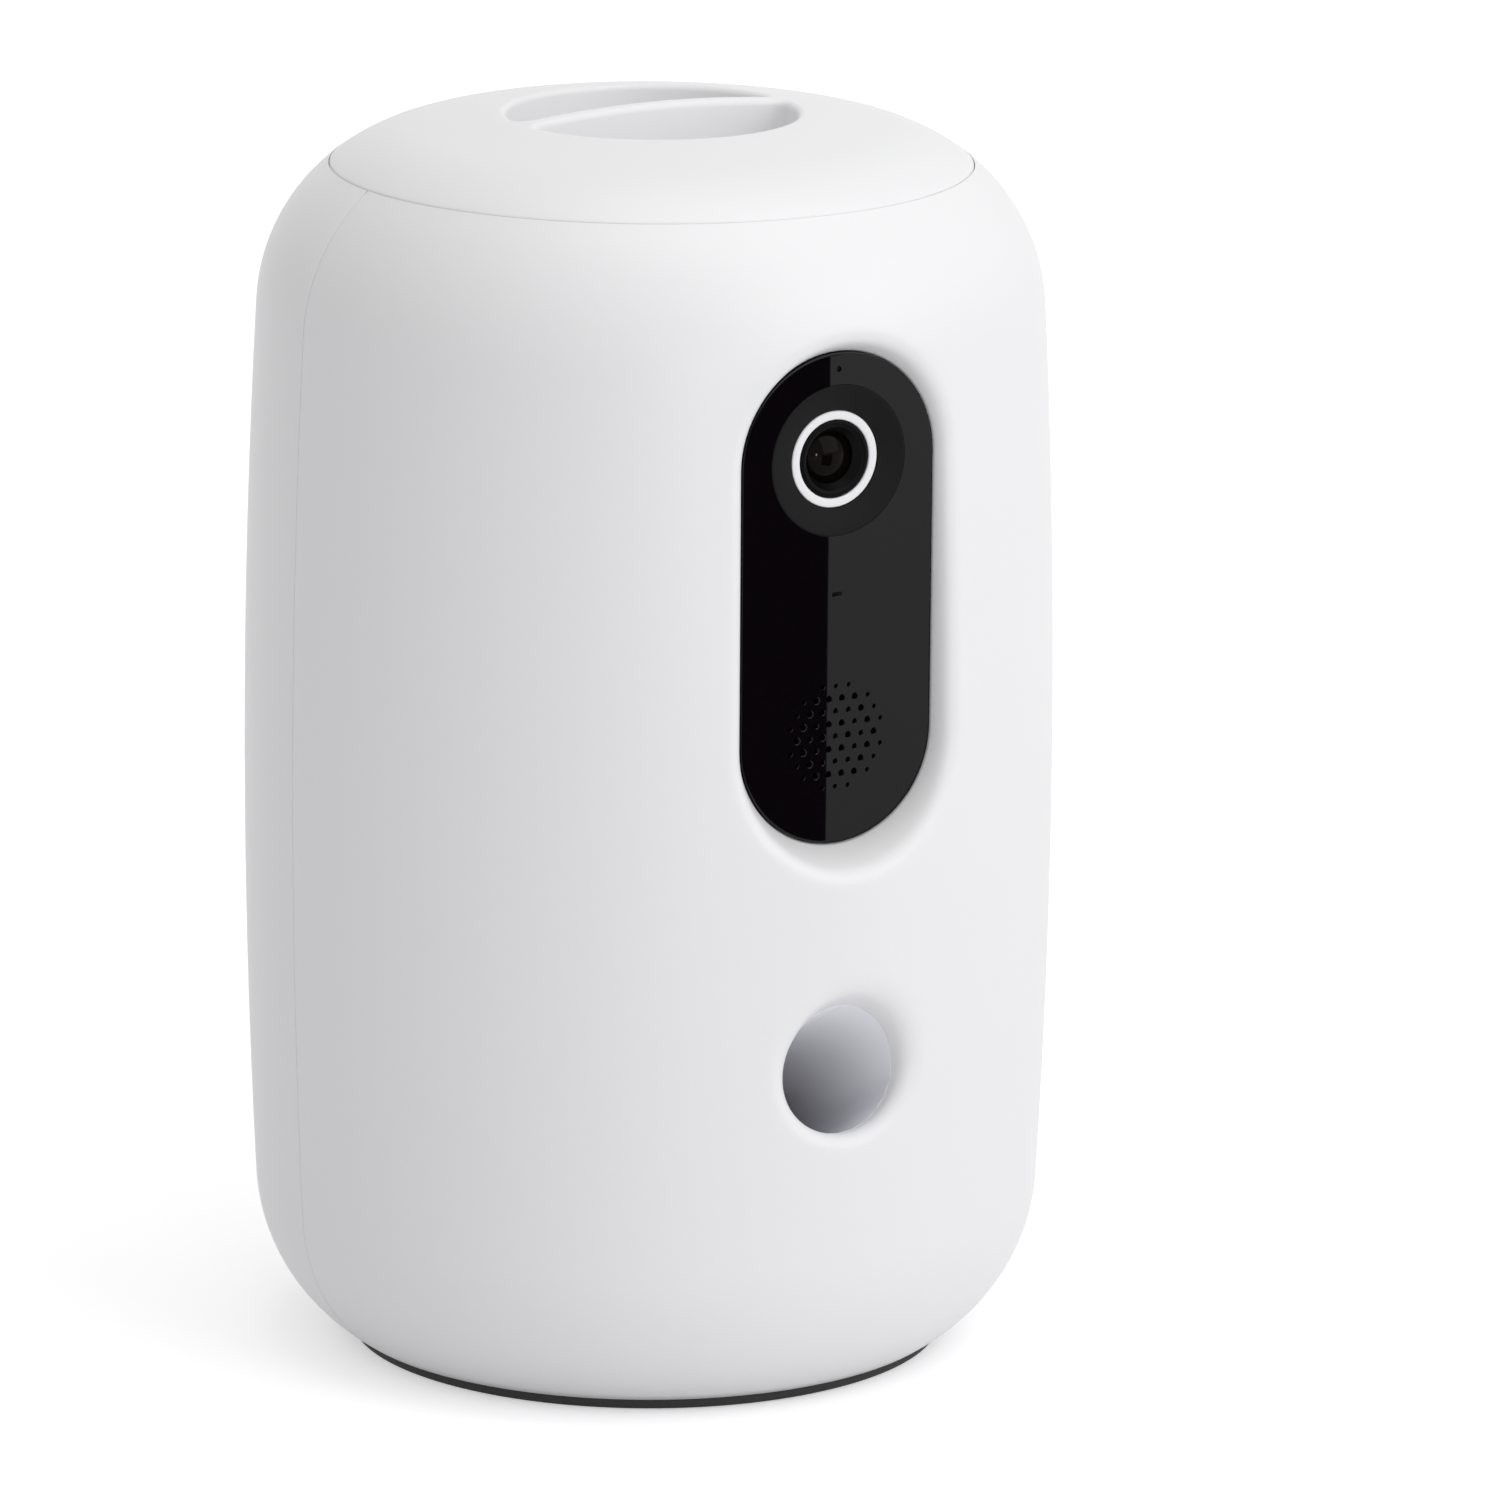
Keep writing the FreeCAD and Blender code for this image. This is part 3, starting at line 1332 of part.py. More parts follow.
lid_seal = cut(
    "LidSeal",
    prism("SealDisc", d.seal_radius, d.liner_wall, (0, 0, d.liner_bottom), sides=d.shown_sides),
    prism("SealBore", d.liner_radius, d.liner_wall, (0, 0, d.liner_bottom), sides=d.hidden_sides),
)
node(lid_seal, "lid_seal")
screws("lid_screws", [(x, y, d.liner_bottom) for x, y in lid_post_places], "Z", 10.5)

# Check every object, then write one file for each piece
doc.recompute()
failed = [f"{obj.Name} {obj.State}" for obj in doc.Objects if {"Invalid", "Error"} & set(obj.State)]
for part in parts:
    if part.Shape.isNull() or not part.Shape.isValid() or not part.Shape.Solids:
        failed.append(f"{part.Label} has no valid shape")
if failed:
    raise RuntimeError("; ".join(failed))
os.makedirs("parts", exist_ok=True)
for part in parts:
    part.Shape.exportStep(f"parts/{part.Label}.step")
    print(part.Label, len(part.Shape.Solids), round(part.Shape.Volume / 1000, 2), "cm3")
print(len(parts), "pieces")
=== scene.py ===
"""The looks of a treat tossing pet camera: satin white shells, a glossy front panel with its lens and sound
holes, the lift-off lid with its grip, and the moulded parts that show when the lid is off."""

import json
import math

import bmesh
import bpy
from mathutils import Matrix, Quaternion, Vector
from mathutils.geometry import delaunay_2d_cdt


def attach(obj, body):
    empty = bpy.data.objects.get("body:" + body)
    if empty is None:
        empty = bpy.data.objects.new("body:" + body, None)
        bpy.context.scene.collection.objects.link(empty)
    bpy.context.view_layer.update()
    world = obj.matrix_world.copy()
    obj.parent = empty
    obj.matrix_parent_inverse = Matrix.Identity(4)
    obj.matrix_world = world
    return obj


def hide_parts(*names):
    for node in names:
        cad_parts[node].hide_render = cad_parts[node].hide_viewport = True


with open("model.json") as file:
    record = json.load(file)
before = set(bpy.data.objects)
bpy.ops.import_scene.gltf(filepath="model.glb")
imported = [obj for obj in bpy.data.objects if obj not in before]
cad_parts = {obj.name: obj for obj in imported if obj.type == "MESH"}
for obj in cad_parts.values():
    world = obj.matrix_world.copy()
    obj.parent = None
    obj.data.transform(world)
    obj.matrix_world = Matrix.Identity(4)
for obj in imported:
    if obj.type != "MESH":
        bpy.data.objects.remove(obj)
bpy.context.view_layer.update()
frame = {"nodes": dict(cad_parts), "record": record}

# Sizes in millimetres; meshes are made in millimetres and finished in metres
MM = 0.001
MESH_WELD = 0.0001
PANEL_WELD = 0.003
SHARP_EDGE = math.radians(35)
EASE_REACH = 0.42
BISECTIONS = 40

# The CAD meshes are in metres
CAD_WELD = 2e-6

# The casing's side view: four arcs that run into one another
BODY_RADIUS = 72.6
BODY_HEIGHT = 225.5
WAIST_Z = 104.5
SIDE_RADIUS = 1537
HEEL_RADIUS = 34
HEEL_Z = 31
SHOULDER_RADIUS = 33.6
SHOULDER_Z = 188.4
RIM_Z = 2.3
WALL = 5
OPENING_RADIUS = 57.3
FLANGE_TOP = 204.4
PLATE_RADIUS = 52.6
PLATE_TOP = 4.8
PARTING_GAP = 0.04
LIP_SOFT = 0.25
COLUMNS = 96
OUTER_STEPS = (14, 36, 16)
INNER_STEPS = (8, 36, 8)

# The casing's soft edge at the parting line: distance from the middle plane, and depth
PARTING_EDGE = ((0.5, 0), (0.32, 0.04), (0.16, 0.14), (0.07, 0.3), (PARTING_GAP, 0.5))

# Where holes are woven into a casing half: angle to each side, and the heights between
FRONT_WINDOW = (26, 40, 205)
REAR_WINDOW = (28, 7.2, 30)

# Front panel in its recess
PANEL_FACE = 65.2
PANEL_BACK = 63.2
PANEL_HALF = 19.15
SEAT_HALF = 19.3
PANEL_HIGH = 173.3
PANEL_LOW = 124.1
RECESS_LEAN = 27
RECESS_SOFT = 2.6
RECESS_FOOT = PANEL_FACE - 0.6
WINDOW_HALF = 17.55
CARRIER_HALF = 25.1
CARRIER_BACK = 61.5
PANEL_EDGE = ((-0.5, 0), (-0.14, 0), (-0.04, 0.04), (0, 0.14), (0, PANEL_FACE - PANEL_BACK))

# Camera, light, microphone and sound holes
BEZEL_RADIUS = 13.4
DISH_DEPTH = 1.2
LIGHT_OUTER = 8.6
LIGHT_INNER = 6.95
BARREL_RADIUS = 6.85
GLASS_RADIUS = 4.6
GLASS_CURVE = 7.5
BOARD_FRONT = 48.6
GLASS_SETBACK = 1.9
GLASS_STEPS = 12
CAMERA_SIDES = 96
MIC_SIDES = 16
MIC_Z = 189.5
MIC_RADIUS = 0.45
LAMP_Z = 149.5
LAMP_WIDTH = 1.9
LAMP_SLOT = 0.7
HOLE_PITCH = 2.6
HOLE_RADII = (0.43, 0.54, 0.43, 0.54, 0.34)
HOLE_SIDES = 16
HOLE_BEVEL = 0.15
HOLE_FLARE = 1.32
FIELD_RADIUS = 12.6
FIELD_SIDES = 96

# Treat mouth
MOUTH_RADIUS = 11.6
MOUTH_Z = 65.5
MOUTH_FACE = 69.5
MOUTH_SLOPE = math.radians(30)
MOUTH_SOFT = 4.1
MOUTH_FLARE = 0.14
MOUTH_SIDES = 72
MOUTH_STEPS = 9

# Lid
LID_RADIUS = 57.1
LIP_DROP = 0.4
LIP_REACH = 0.08
LID_BOTTOM = 211.5
LID_SKIRT = 5.4
LID_CEILING = 216
GRIP_RADIUS = 25.9
GRIP_FLOOR = 211.7
GRIP_UNDER = 209.7
BAR_HALF = 1.8
BAR_CORNER = 2.4
GRIP_SOFT = 1.3
GRIP_WALL = 2
LID_SOFT = 0.3
LID_SIDES = 160
LID_STEPS = 22
LID_PATCH = 31

LINER_RADIUS = 50.8
SEAL_RADIUS = 52.7
SEAL_BOTTOM = 205
SEAL_TOP = 207.3
SEAL_SOFT = 0.7

# Foot ring
FOOT_INNER = 45
FOOT_OUTER = 53.6

# Rear pocket with the power socket and the reset button
POCKET_X = (-9.5, 23.5)
POCKET_Z = (11.7, 22.7)
POCKET_FLOOR = 61.5
POCKET_CORNER = 3
POCKET_LEAN = 4
POCKET_SOFT = 1.2
FLOOR_SOFT = 0.3
SEAT_BACK = 59.5
SOCKET_Z = 17.2
SOCKET_HALF = (4.75, 1.9)
SOCKET_CORNER = 1.8
OPENING_SOFT = 0.25
RESET_X = 17
RESET_RADIUS = 2
RESET_GAP = 0.35
RESET_FACE = 62.1

# Camera of the photograph
VIEW_TARGET = Vector((0, 0, 0.110))
VIEW_AZIMUTH = math.radians(-30)
VIEW_ELEVATION = math.radians(14.09)
VIEW_DISTANCE = 1.860
VIEW_LENS = 248.2
VIEW_ROLL = math.radians(0.326)
SENSOR = 36
PHOTO_SIZE = 1500
TARGET_PIXEL = (648.57, 734.80)

# Studio: light of the world, and the black card whose edge parts the panel's reflection, in metres
WORLD_LEVEL = 0.5
CARD_EDGE = Vector((0.1497, -0.3172, 0))
CARD_WAY = Vector((-0.866, -0.5, 0))
CARD_WIDTH = 0.17
CARD_HEIGHT = 0.16

# The floor, whose own light grows from the first distance to the second
FLOOR_HALF = 6
FLOOR_DROP = 0.0001
FLOOR_COLOUR = (0.82, 0.82, 0.83, 1)
# The glow is weaker near the object: painted shade on the floor round it, where its shadow falls
FLOOR_GLOW = {"From Min": 0.25, "From Max": 1.2, "To Min": 0.46, "To Max": 0.7}

# Lamps: place, width and height, power and aim
LAMPS = {
    "KeyRight": ((0.7, -1.4, 0.85), (1.4, 1.4), 9.2, (0, 0, 0.1)),
    "Top": ((0.2, -0.2, 1.7), (1.4, 1.4), 8.3, (0, 0, 0.1)),
    "LensGlint": ((-0.3, -1.23, 0.167), (0.08, 0.12), 1.2, (0, -0.07, 0.173)),
}


def touching(radius, height):
    """How far out an arc's centre lies for the arc to run smoothly into the side's long arc."""
    rise = height - WAIST_Z
    return BODY_RADIUS - SIDE_RADIUS + math.sqrt((SIDE_RADIUS - radius) ** 2 - rise**2)


HEEL_X = touching(HEEL_RADIUS, HEEL_Z)
SHOULDER_X = touching(SHOULDER_RADIUS, SHOULDER_Z)
SIDE_X = BODY_RADIUS - SIDE_RADIUS
CROWN_DROP = BODY_HEIGHT - SHOULDER_Z
DOME_RADIUS = (SHOULDER_X**2 + CROWN_DROP**2 - SHOULDER_RADIUS**2) / (2 * (CROWN_DROP - SHOULDER_RADIUS))
DOME_Z = BODY_HEIGHT - DOME_RADIUS


class SideView:
    """The casing's side view between the rim and the lid's seam, by height and by length along it."""

    def __init__(self, inset, low, top_radius):
        centres = [(HEEL_X, HEEL_Z), (SIDE_X, WAIST_Z), (SHOULDER_X, SHOULDER_Z)]
        radii = [HEEL_RADIUS - inset, SIDE_RADIUS - inset, SHOULDER_RADIUS - inset]
        angles = [
            math.asin((low - HEEL_Z) / radii[0]),
            math.atan2(HEEL_Z - WAIST_Z, HEEL_X - SIDE_X),
            math.atan2(SHOULDER_Z - WAIST_Z, SHOULDER_X - SIDE_X),
            math.acos((top_radius - SHOULDER_X) / radii[2]),
        ]
        self.arcs = list(zip(centres, radii, angles, angles[1:]))

    def rows(self, counts):
        """Places along the side view with their outward directions, a count for each arc."""
        found = []
        for ((x, z), radius, start, end), count in zip(self.arcs, counts):
            for step in range(count):
                angle = start + (end - start) * step / count
                found.append((x + radius * math.cos(angle), z + radius * math.sin(angle), angle))
        (x, z), radius, _, end = self.arcs[-1]
        found.append((x + radius * math.cos(end), z + radius * math.sin(end), end))
        return found

    def radius_at(self, height):
        for (x, z), radius, start, end in self.arcs:
            if height <= z + radius * math.sin(end) or end == self.arcs[-1][3]:
                return x + math.sqrt(max(radius**2 - (height - z) ** 2, 0))

    def reach(self, x, z):
        """How far the surface lies in front of, or behind, the axis."""
        return math.sqrt(max(self.radius_at(z) ** 2 - x**2, 1e-6))


OUTSIDE = SideView(0, RIM_Z, OPENING_RADIUS)
INSIDE = SideView(WALL, PLATE_TOP + 1.5, OPENING_RADIUS + 3)


def dome_z(radius):
    """Height of the lid's top surface."""
    joint = DOME_RADIUS * SHOULDER_X / (DOME_RADIUS - SHOULDER_RADIUS)
    if radius <= joint:
        return DOME_Z + math.sqrt(DOME_RADIUS**2 - radius**2)
    return SHOULDER_Z + math.sqrt(SHOULDER_RADIUS**2 - (radius - SHOULDER_X) ** 2)


# Mesh tools

def added(name, data):
    """A new object in the scene."""
    thing = bpy.data.objects.new(name, data)
    bpy.context.scene.collection.objects.link(thing)
    return thing


def mesh_of(name, bm):
    """The mesh that a bmesh holds. The bmesh goes."""
    mesh = bpy.data.meshes.new(name)
    bm.to_mesh(mesh)
    bm.free()
    return mesh


def evaluated(holder):
    """The plain mesh that an object's modifiers give. The object goes."""
    graph = bpy.context.evaluated_depsgraph_get()
    made = bpy.data.meshes.new_from_object(holder.evaluated_get(graph))
    bpy.data.objects.remove(holder)
    return made


def finished(name, bm, body, slot, node=None, coat=None):
    """Turns a mesh made in millimetres into a piece that rides on its body and stands for its CAD node."""
    bmesh.ops.remove_doubles(bm, verts=bm.verts, dist=MESH_WELD)
    bmesh.ops.recalc_face_normals(bm, faces=bm.faces)
    bmesh.ops.scale(bm, vec=(MM, MM, MM), verts=bm.verts)
    dressed(name, mesh_of(name, bm), body, slot, node, coat)


def dressed(name, mesh, body, slot, node=None, coat=None):
    """A piece in the finish of its slot, unless another coat is named."""
    mesh.name = name
    mesh.polygons.foreach_set("use_smooth", [True] * len(mesh.polygons))
    mesh.set_sharp_from_angle(angle=SHARP_EDGE)
    mesh.materials.clear()
    mesh.materials.append(coats[coat or slot])
    piece = added(name, mesh)
    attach(piece, body)
    if node:
        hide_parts(node)


def strip(bm, first, second):
    """Faces between two closed rings, one of which may be a single point."""
    count = len(first)
    for index in range(count):
        after = (index + 1) % count
        corners = list(dict.fromkeys([first[index], first[after], second[after], second[index]]))
        if len(corners) > 2:
            bm.faces.new(corners)


def strips(bm, rings):
    for first, second in zip(rings, rings[1:]):
        strip(bm, first, second)


def from_the_side(co):
    return co.x, co.z


def inside_of(x, y, ring):
    """Whether a flat point lies in a closed outline."""
    found = False
    for (ax, ay), (bx, by) in zip(ring, ring[1:] + ring[:1]):
        if (ay > y) != (by > y) and x < (bx - ax) * (y - ay) / (by - ay) + ax:
            found = not found
    return found


def gap_to(x, y, ring):
    return min(math.hypot(x - ax, y - ay) for ax, ay in ring)


def web(bm, loop, rings, extras, flat, lift, keep=1.0):
    """Triangles between a loop and the rings of holes in it, through the extra points that are clear of
    the rings. The flat coordinates serve the triangulation, and lift gives an extra point its place."""
    hole_spots = [[flat(vert.co) for vert in ring] for ring in rings]
    loop_spots = [flat(vert.co) for vert in loop]
    clear = [
        spot
        for spot in extras
        if inside_of(*spot, loop_spots)
        and not any(inside_of(*spot, ring) for ring in hole_spots)
        and all(gap_to(*spot, ring) > keep for ring in hole_spots)
    ]
    verts, spots, edges = [], [], []
    for outline, places in zip([loop] + rings, [loop_spots] + hole_spots):
        first = len(spots)
        verts += outline
        spots += places
        count = len(places)
        edges += [(first + index, first + (index + 1) % count) for index in range(count)]
    spots += clear
    verts += [bm.verts.new(lift(*spot)) for spot in clear]
    _, _, faces, origins, _, _ = delaunay_2d_cdt([Vector(spot) for spot in spots], edges, [], 1, 1e-6)
    for face in faces:
        corners = [origins[index][0] for index in face]
        x = sum(spots[corner][0] for corner in corners) / 3
        y = sum(spots[corner][1] for corner in corners) / 3
        if any(inside_of(x, y, ring) for ring in hole_spots):
            continue
        try:
            bm.faces.new([verts[corner] for corner in corners])
        except ValueError:
            continue


def eased(start, start_way, end, end_way, steps):
    """Points of a soft edge that leaves one surface and runs into another."""
    reach = (end - start).length * EASE_REACH
    near, far = start + start_way.normalized() * reach, end + end_way.normalized() * reach
    points = []
    for step in range(steps + 1):
        t = step / steps
        points.append(
            start * (1 - t) ** 3 + near * (3 * t * (1 - t) ** 2) + far * (3 * t * t * (1 - t)) + end * t**3
        )
    return points


def arc_points(centre, radius, start, end, steps, last=True):
    """Flat points on an arc, with the directions from its centre."""
    points = []
    for step in range(steps + (1 if last else 0)):
        angle = start + (end - start) * step / steps
        way = (math.cos(angle), math.sin(angle))
        points.append((centre[0] + radius * way[0], centre[1] + radius * way[1], *way))
    return points


def line_points(start, end, steps, way):
    """Flat points from one place towards another, without the last, with one direction for all."""
    return [
        (start[0] + (end[0] - start[0]) * k / steps, start[1] + (end[1] - start[1]) * k / steps, *way)
        for k in range(steps)
    ]


def pill_outline(half, high, low, turns=40, runs=24):
    """Stations round an upright pill, each with its outward direction."""
    top = arc_points((0, high), half, 0, math.pi, turns, last=False)
    left = line_points((-half, high), (-half, low), runs, (-1, 0))
    foot = arc_points((0, low), half, math.pi, 2 * math.pi, turns, last=False)
    right = line_points((half, low), (half, high), runs, (1, 0))
    return top + left + foot + right


def box_outline(xs, zs, corner, turns=8, runs=8):
    """Stations round an upright rectangle with round corners."""
    (x0, x1), (z0, z1) = xs, zs
    stations = []
    corners = [(x1, z1, 1, 1, 0), (x0, z1, -1, 1, 0.5), (x0, z0, -1, -1, 1), (x1, z0, 1, -1, 1.5)]
    centres = [(x - sx * corner, z - sz * corner) for x, z, sx, sz, _ in corners]
    for index, ((*_, start), centre) in enumerate(zip(corners, centres)):
        begin = start * math.pi
        end = begin + math.pi / 2
        arc = arc_points(centre, corner, begin, end, turns)
        following = arc_points(centres[(index + 1) % 4], corner, end, begin + math.pi, turns)[0]
        stations += arc[:-1]
        stations += line_points(arc[-1][:2], following[:2], runs, arc[-1][2:])
    return stations


def round_outline(centre, radius, sides):
    return arc_points(centre, radius, 0, 2 * math.pi, sides, last=False)


def crossing(start, way, surface, low, high):
    """How far along a line it comes out through a surface."""
    for _ in range(BISECTIONS):
        middle = (low + high) / 2
        spot = start + way * middle
        if surface.reach(spot.x, spot.z) > spot.y:
            low = middle
        else:
            high = middle
    return low


# Shells

class Skin:
    """One half of the casing, in front of the axis (side -1) or behind it (side 1)."""

    def __init__(self, side):
        self.side = side
        self.bm = bmesh.new()

    def place(self, x, reach, z):
        return Vector((x, self.side * reach, z))

    def ring(self, points):
        return [self.bm.verts.new(self.place(*point)) for point in points]

    def ring_at(self, stations, reach, grow=0):
        """A ring of an outline at one depth, grown outwards."""
        return self.ring([(x + nx * grow, reach, z + nz * grow) for x, z, nx, nz in stations])

    def soft_rings(self, walls, soft, steps=7):
        """The soft edge where each wall meets the outside. A wall is a foot, its way out and the flat
        direction away from the opening, all as (x, reach, z)."""
        sections = []
        for foot, way, away in walls:
            height = crossing(foot, way, OUTSIDE, 0.0, 30.0)
            meeting = foot + way * height
            soft_here = min(soft, height * 0.85)
            outer, before = meeting + away * soft_here, meeting + away * (soft_here - 0.05)
            for spot in (outer, before):
                spot.y = OUTSIDE.reach(spot.x, spot.z)
            sections.append(eased(outer, before - outer, meeting - way * soft_here, way, steps))
        return [self.ring(points) for points in zip(*sections)]

    def row(self, radius, height, angle, kind, seat):
        """Points from one parting face round to the other."""
        ends = []
        for gap, depth in PARTING_EDGE[1:]:
            sunk = depth if kind == "out" else 0
            r, z = radius - sunk * math.cos(angle), height - sunk * math.sin(angle)
            ends.append((math.sqrt(r**2 - gap**2), gap, z))
        half = math.pi / 2 - PARTING_EDGE[0][0] / radius
        line = [(-x, w, z) for x, w, z in reversed(ends)]
        for step in range(COLUMNS + 1):
            turn = -half + 2 * half * step / COLUMNS
            line.append((radius * math.sin(turn), radius * math.cos(turn), height))
        line += ends
        if kind == "in":
            line = [(x, min(w, seat(x, z)), z) for x, w, z in line]
        return self.ring(line)

    def build(self, window, outer_holes, inner_holes, seat):
        """The outer and inner skins, the lips at the lid and the base, and the parting faces."""
        bm = self.bm
        angle_reach, low, high = window
        outer = OUTSIDE.rows(OUTER_STEPS)
        top_radius, top_z, top_angle = outer[-1]
        near = top_radius + LIP_SOFT
        near_z = SHOULDER_Z + math.sqrt(SHOULDER_RADIUS**2 - (near - SHOULDER_X) ** 2)
        lip = [(OPENING_RADIUS + 0.06, top_z - 0.02), (OPENING_RADIUS, top_z - LIP_SOFT)]
        lip.append((OPENING_RADIUS, FLANGE_TOP))
        foot = [(PLATE_RADIUS - 9, PLATE_TOP), (PLATE_RADIUS, PLATE_TOP), (PLATE_RADIUS, RIM_Z)]
        rows = [(*place, "out") for place in outer[:-1]]
        rows.append((near, near_z, top_angle, "out"))
        rows += [(*place, 0, "lip") for place in lip]
        rows += [(*place, "in") for place in INSIDE.rows(INNER_STEPS)[::-1]]
        rows += [(*place, 0, "foot") for place in foot]
        grid = [self.row(*row, seat) for row in rows]
        wanted = [
            column
            for column, vert in enumerate(grid[0])
            if abs(math.degrees(math.atan2(vert.co.x, abs(vert.co.y)))) <= angle_reach
        ]
        first, last = wanted[0], wanted[-1]
        spans = {}
        for kind in ("out", "in"):
            inside = [j for j, row in enumerate(rows) if row[3] == kind and low <= row[1] <= high]
            spans[kind] = (inside[0], inside[-1])
        for j, line in enumerate(grid):
            following = grid[(j + 1) % len(grid)]
            covered = any(start <= j < end for start, end in spans.values())
            for c in range(len(line) - 1):
                if not (covered and first <= c < last):
                    bm.faces.new([line[c], line[c + 1], following[c + 1], following[c]])
        for column in (0, -1):
            cap = bm.faces.new([line[column] for line in grid])
            bmesh.ops.triangulate(bm, faces=[cap])
        for kind, holes, surface in (("out", outer_holes, OUTSIDE), ("in", inner_holes, INSIDE)):
            start, end = spans[kind]
            loop = [grid[start][c] for c in range(first, last)]
            loop += [grid[j][last] for j in range(start, end)]
            loop += [grid[end][c] for c in range(last, first, -1)]
            loop += [grid[j][first] for j in range(end, start, -1)]
            extras = []
            for j in range(start + 1, end):
                for c in range(first + 1, last):
                    extras.append(from_the_side(grid[j][c].co))
                    bm.verts.remove(grid[j][c])

            def lift(x, z, surface=surface, kind=kind):
                w = surface.reach(x, z)
                return self.place(x, min(w, seat(x, z)) if kind == "in" else w, z)

            web(bm, loop, holes, extras, from_the_side, lift)


def leaning(stations, reach, degrees):
    """Walls round an opening that lean outwards from their feet."""
    lean = math.radians(degrees)
    walls = []
    for x, z, nx, nz in stations:
        way = Vector((nx * math.sin(lean), math.cos(lean), nz * math.sin(lean)))
        walls.append((Vector((x, reach, z)), way, Vector((nx, 0, nz))))
    return walls


def pill_gap(x, z, half):
    """Distance outwards from an upright pill on the panel's axis."""
    middle = min(max(z, PANEL_LOW), PANEL_HIGH)
    return math.hypot(x, z - middle) - half


def front_shell():
    skin = Skin(-1)
    stations = pill_outline(SEAT_HALF, PANEL_HIGH, PANEL_LOW)
    window = pill_outline(WINDOW_HALF, PANEL_HIGH, PANEL_LOW)
    recess = skin.soft_rings(leaning(stations, RECESS_FOOT, RECESS_LEAN), RECESS_SOFT)
    recess += [skin.ring_at(stations, reach) for reach in (RECESS_FOOT, PANEL_BACK)]
    recess += [skin.ring_at(window, reach) for reach in (PANEL_BACK, CARRIER_BACK)]
    strips(skin.bm, recess)

    slope = Vector((0, math.cos(MOUTH_SLOPE), math.sin(MOUTH_SLOPE)))
    walls = []
    for x, z, nx, nz in round_outline((0, 0), MOUTH_RADIUS, MOUTH_SIDES):
        start = Vector((0, MOUTH_FACE, MOUTH_Z)) + Vector((x, 0, z))
        end = start + slope * crossing(start, slope, INSIDE, -20.0, 0.0)
        away = Vector((nx, 0, nz))
        walls.append((end, (slope + away * MOUTH_FLARE).normalized(), away))
    mouth = skin.soft_rings(walls, MOUTH_SOFT, MOUTH_STEPS)
    mouth.append(skin.ring([end for end, _, _ in walls]))
    strips(skin.bm, mouth)

    def seat(x, z):
        return CARRIER_BACK if pill_gap(x, z, CARRIER_HALF) < 0 else BODY_RADIUS

    skin.build(FRONT_WINDOW, [recess[0], mouth[0]], [recess[-1], mouth[-1]], seat)
    finished("front_casing", skin.bm, "housing", "white_shell", "front_shell")


def rear_shell():
    skin = Skin(1)
    stations = box_outline(POCKET_X, POCKET_Z, POCKET_CORNER)
    pocket = skin.soft_rings(leaning(stations, POCKET_FLOOR, POCKET_LEAN), POCKET_SOFT)
    pocket.append(skin.ring_at(stations, POCKET_FLOOR + FLOOR_SOFT))
    pocket.append(skin.ring_at(stations, POCKET_FLOOR, -FLOOR_SOFT))
    strips(skin.bm, pocket)
    half_x, half_z = SOCKET_HALF
    sleeves = []
    for outline in (
        box_outline((-half_x, half_x), (SOCKET_Z - half_z, SOCKET_Z + half_z), SOCKET_CORNER, 8, 6),
        round_outline((RESET_X, SOCKET_Z), RESET_RADIUS + RESET_GAP, 32),
    ):
        wide = skin.ring_at(outline, POCKET_FLOOR, OPENING_SOFT)
        narrow = skin.ring_at(outline, POCKET_FLOOR - OPENING_SOFT)
        sleeves.append([wide, narrow, skin.ring_at(outline, SEAT_BACK)])
        strips(skin.bm, sleeves[-1])
    web(skin.bm, pocket[-1], [sleeve[0] for sleeve in sleeves], [], from_the_side, None)

    def seat(x, z):
        inside = POCKET_X[0] - 3 < x < POCKET_X[1] + 3 and POCKET_Z[0] - 4 < z < POCKET_Z[1] + 3
        return SEAT_BACK if inside else BODY_RADIUS

    skin.build(REAR_WINDOW, [pocket[0]], [sleeve[-1] for sleeve in sleeves], seat)
    finished("rear_casing", skin.bm, "housing", "white_shell", "rear_shell")


def grip_outline(side):
    """Stations round one finger pocket of the lid: a half disc beside the bar, with round corners."""
    inner = GRIP_RADIUS - BAR_CORNER
    x = math.sqrt(inner**2 - (BAR_HALF + BAR_CORNER) ** 2)
    y = BAR_HALF + BAR_CORNER
    slant = math.atan2(y, x)
    stations = arc_points((x, y), BAR_CORNER, -math.pi / 2, slant, 10, last=False)
    stations += arc_points((0, 0), GRIP_RADIUS, slant, math.pi - slant, 56, last=False)
    stations += arc_points((-x, y), BAR_CORNER, math.pi - slant, math.pi * 1.5, 10, last=False)
    stations += line_points((-x, BAR_HALF), (x, BAR_HALF), 30, (0, -1))
    return [(px, side * py, nx, side * ny) for px, py, nx, ny in stations]


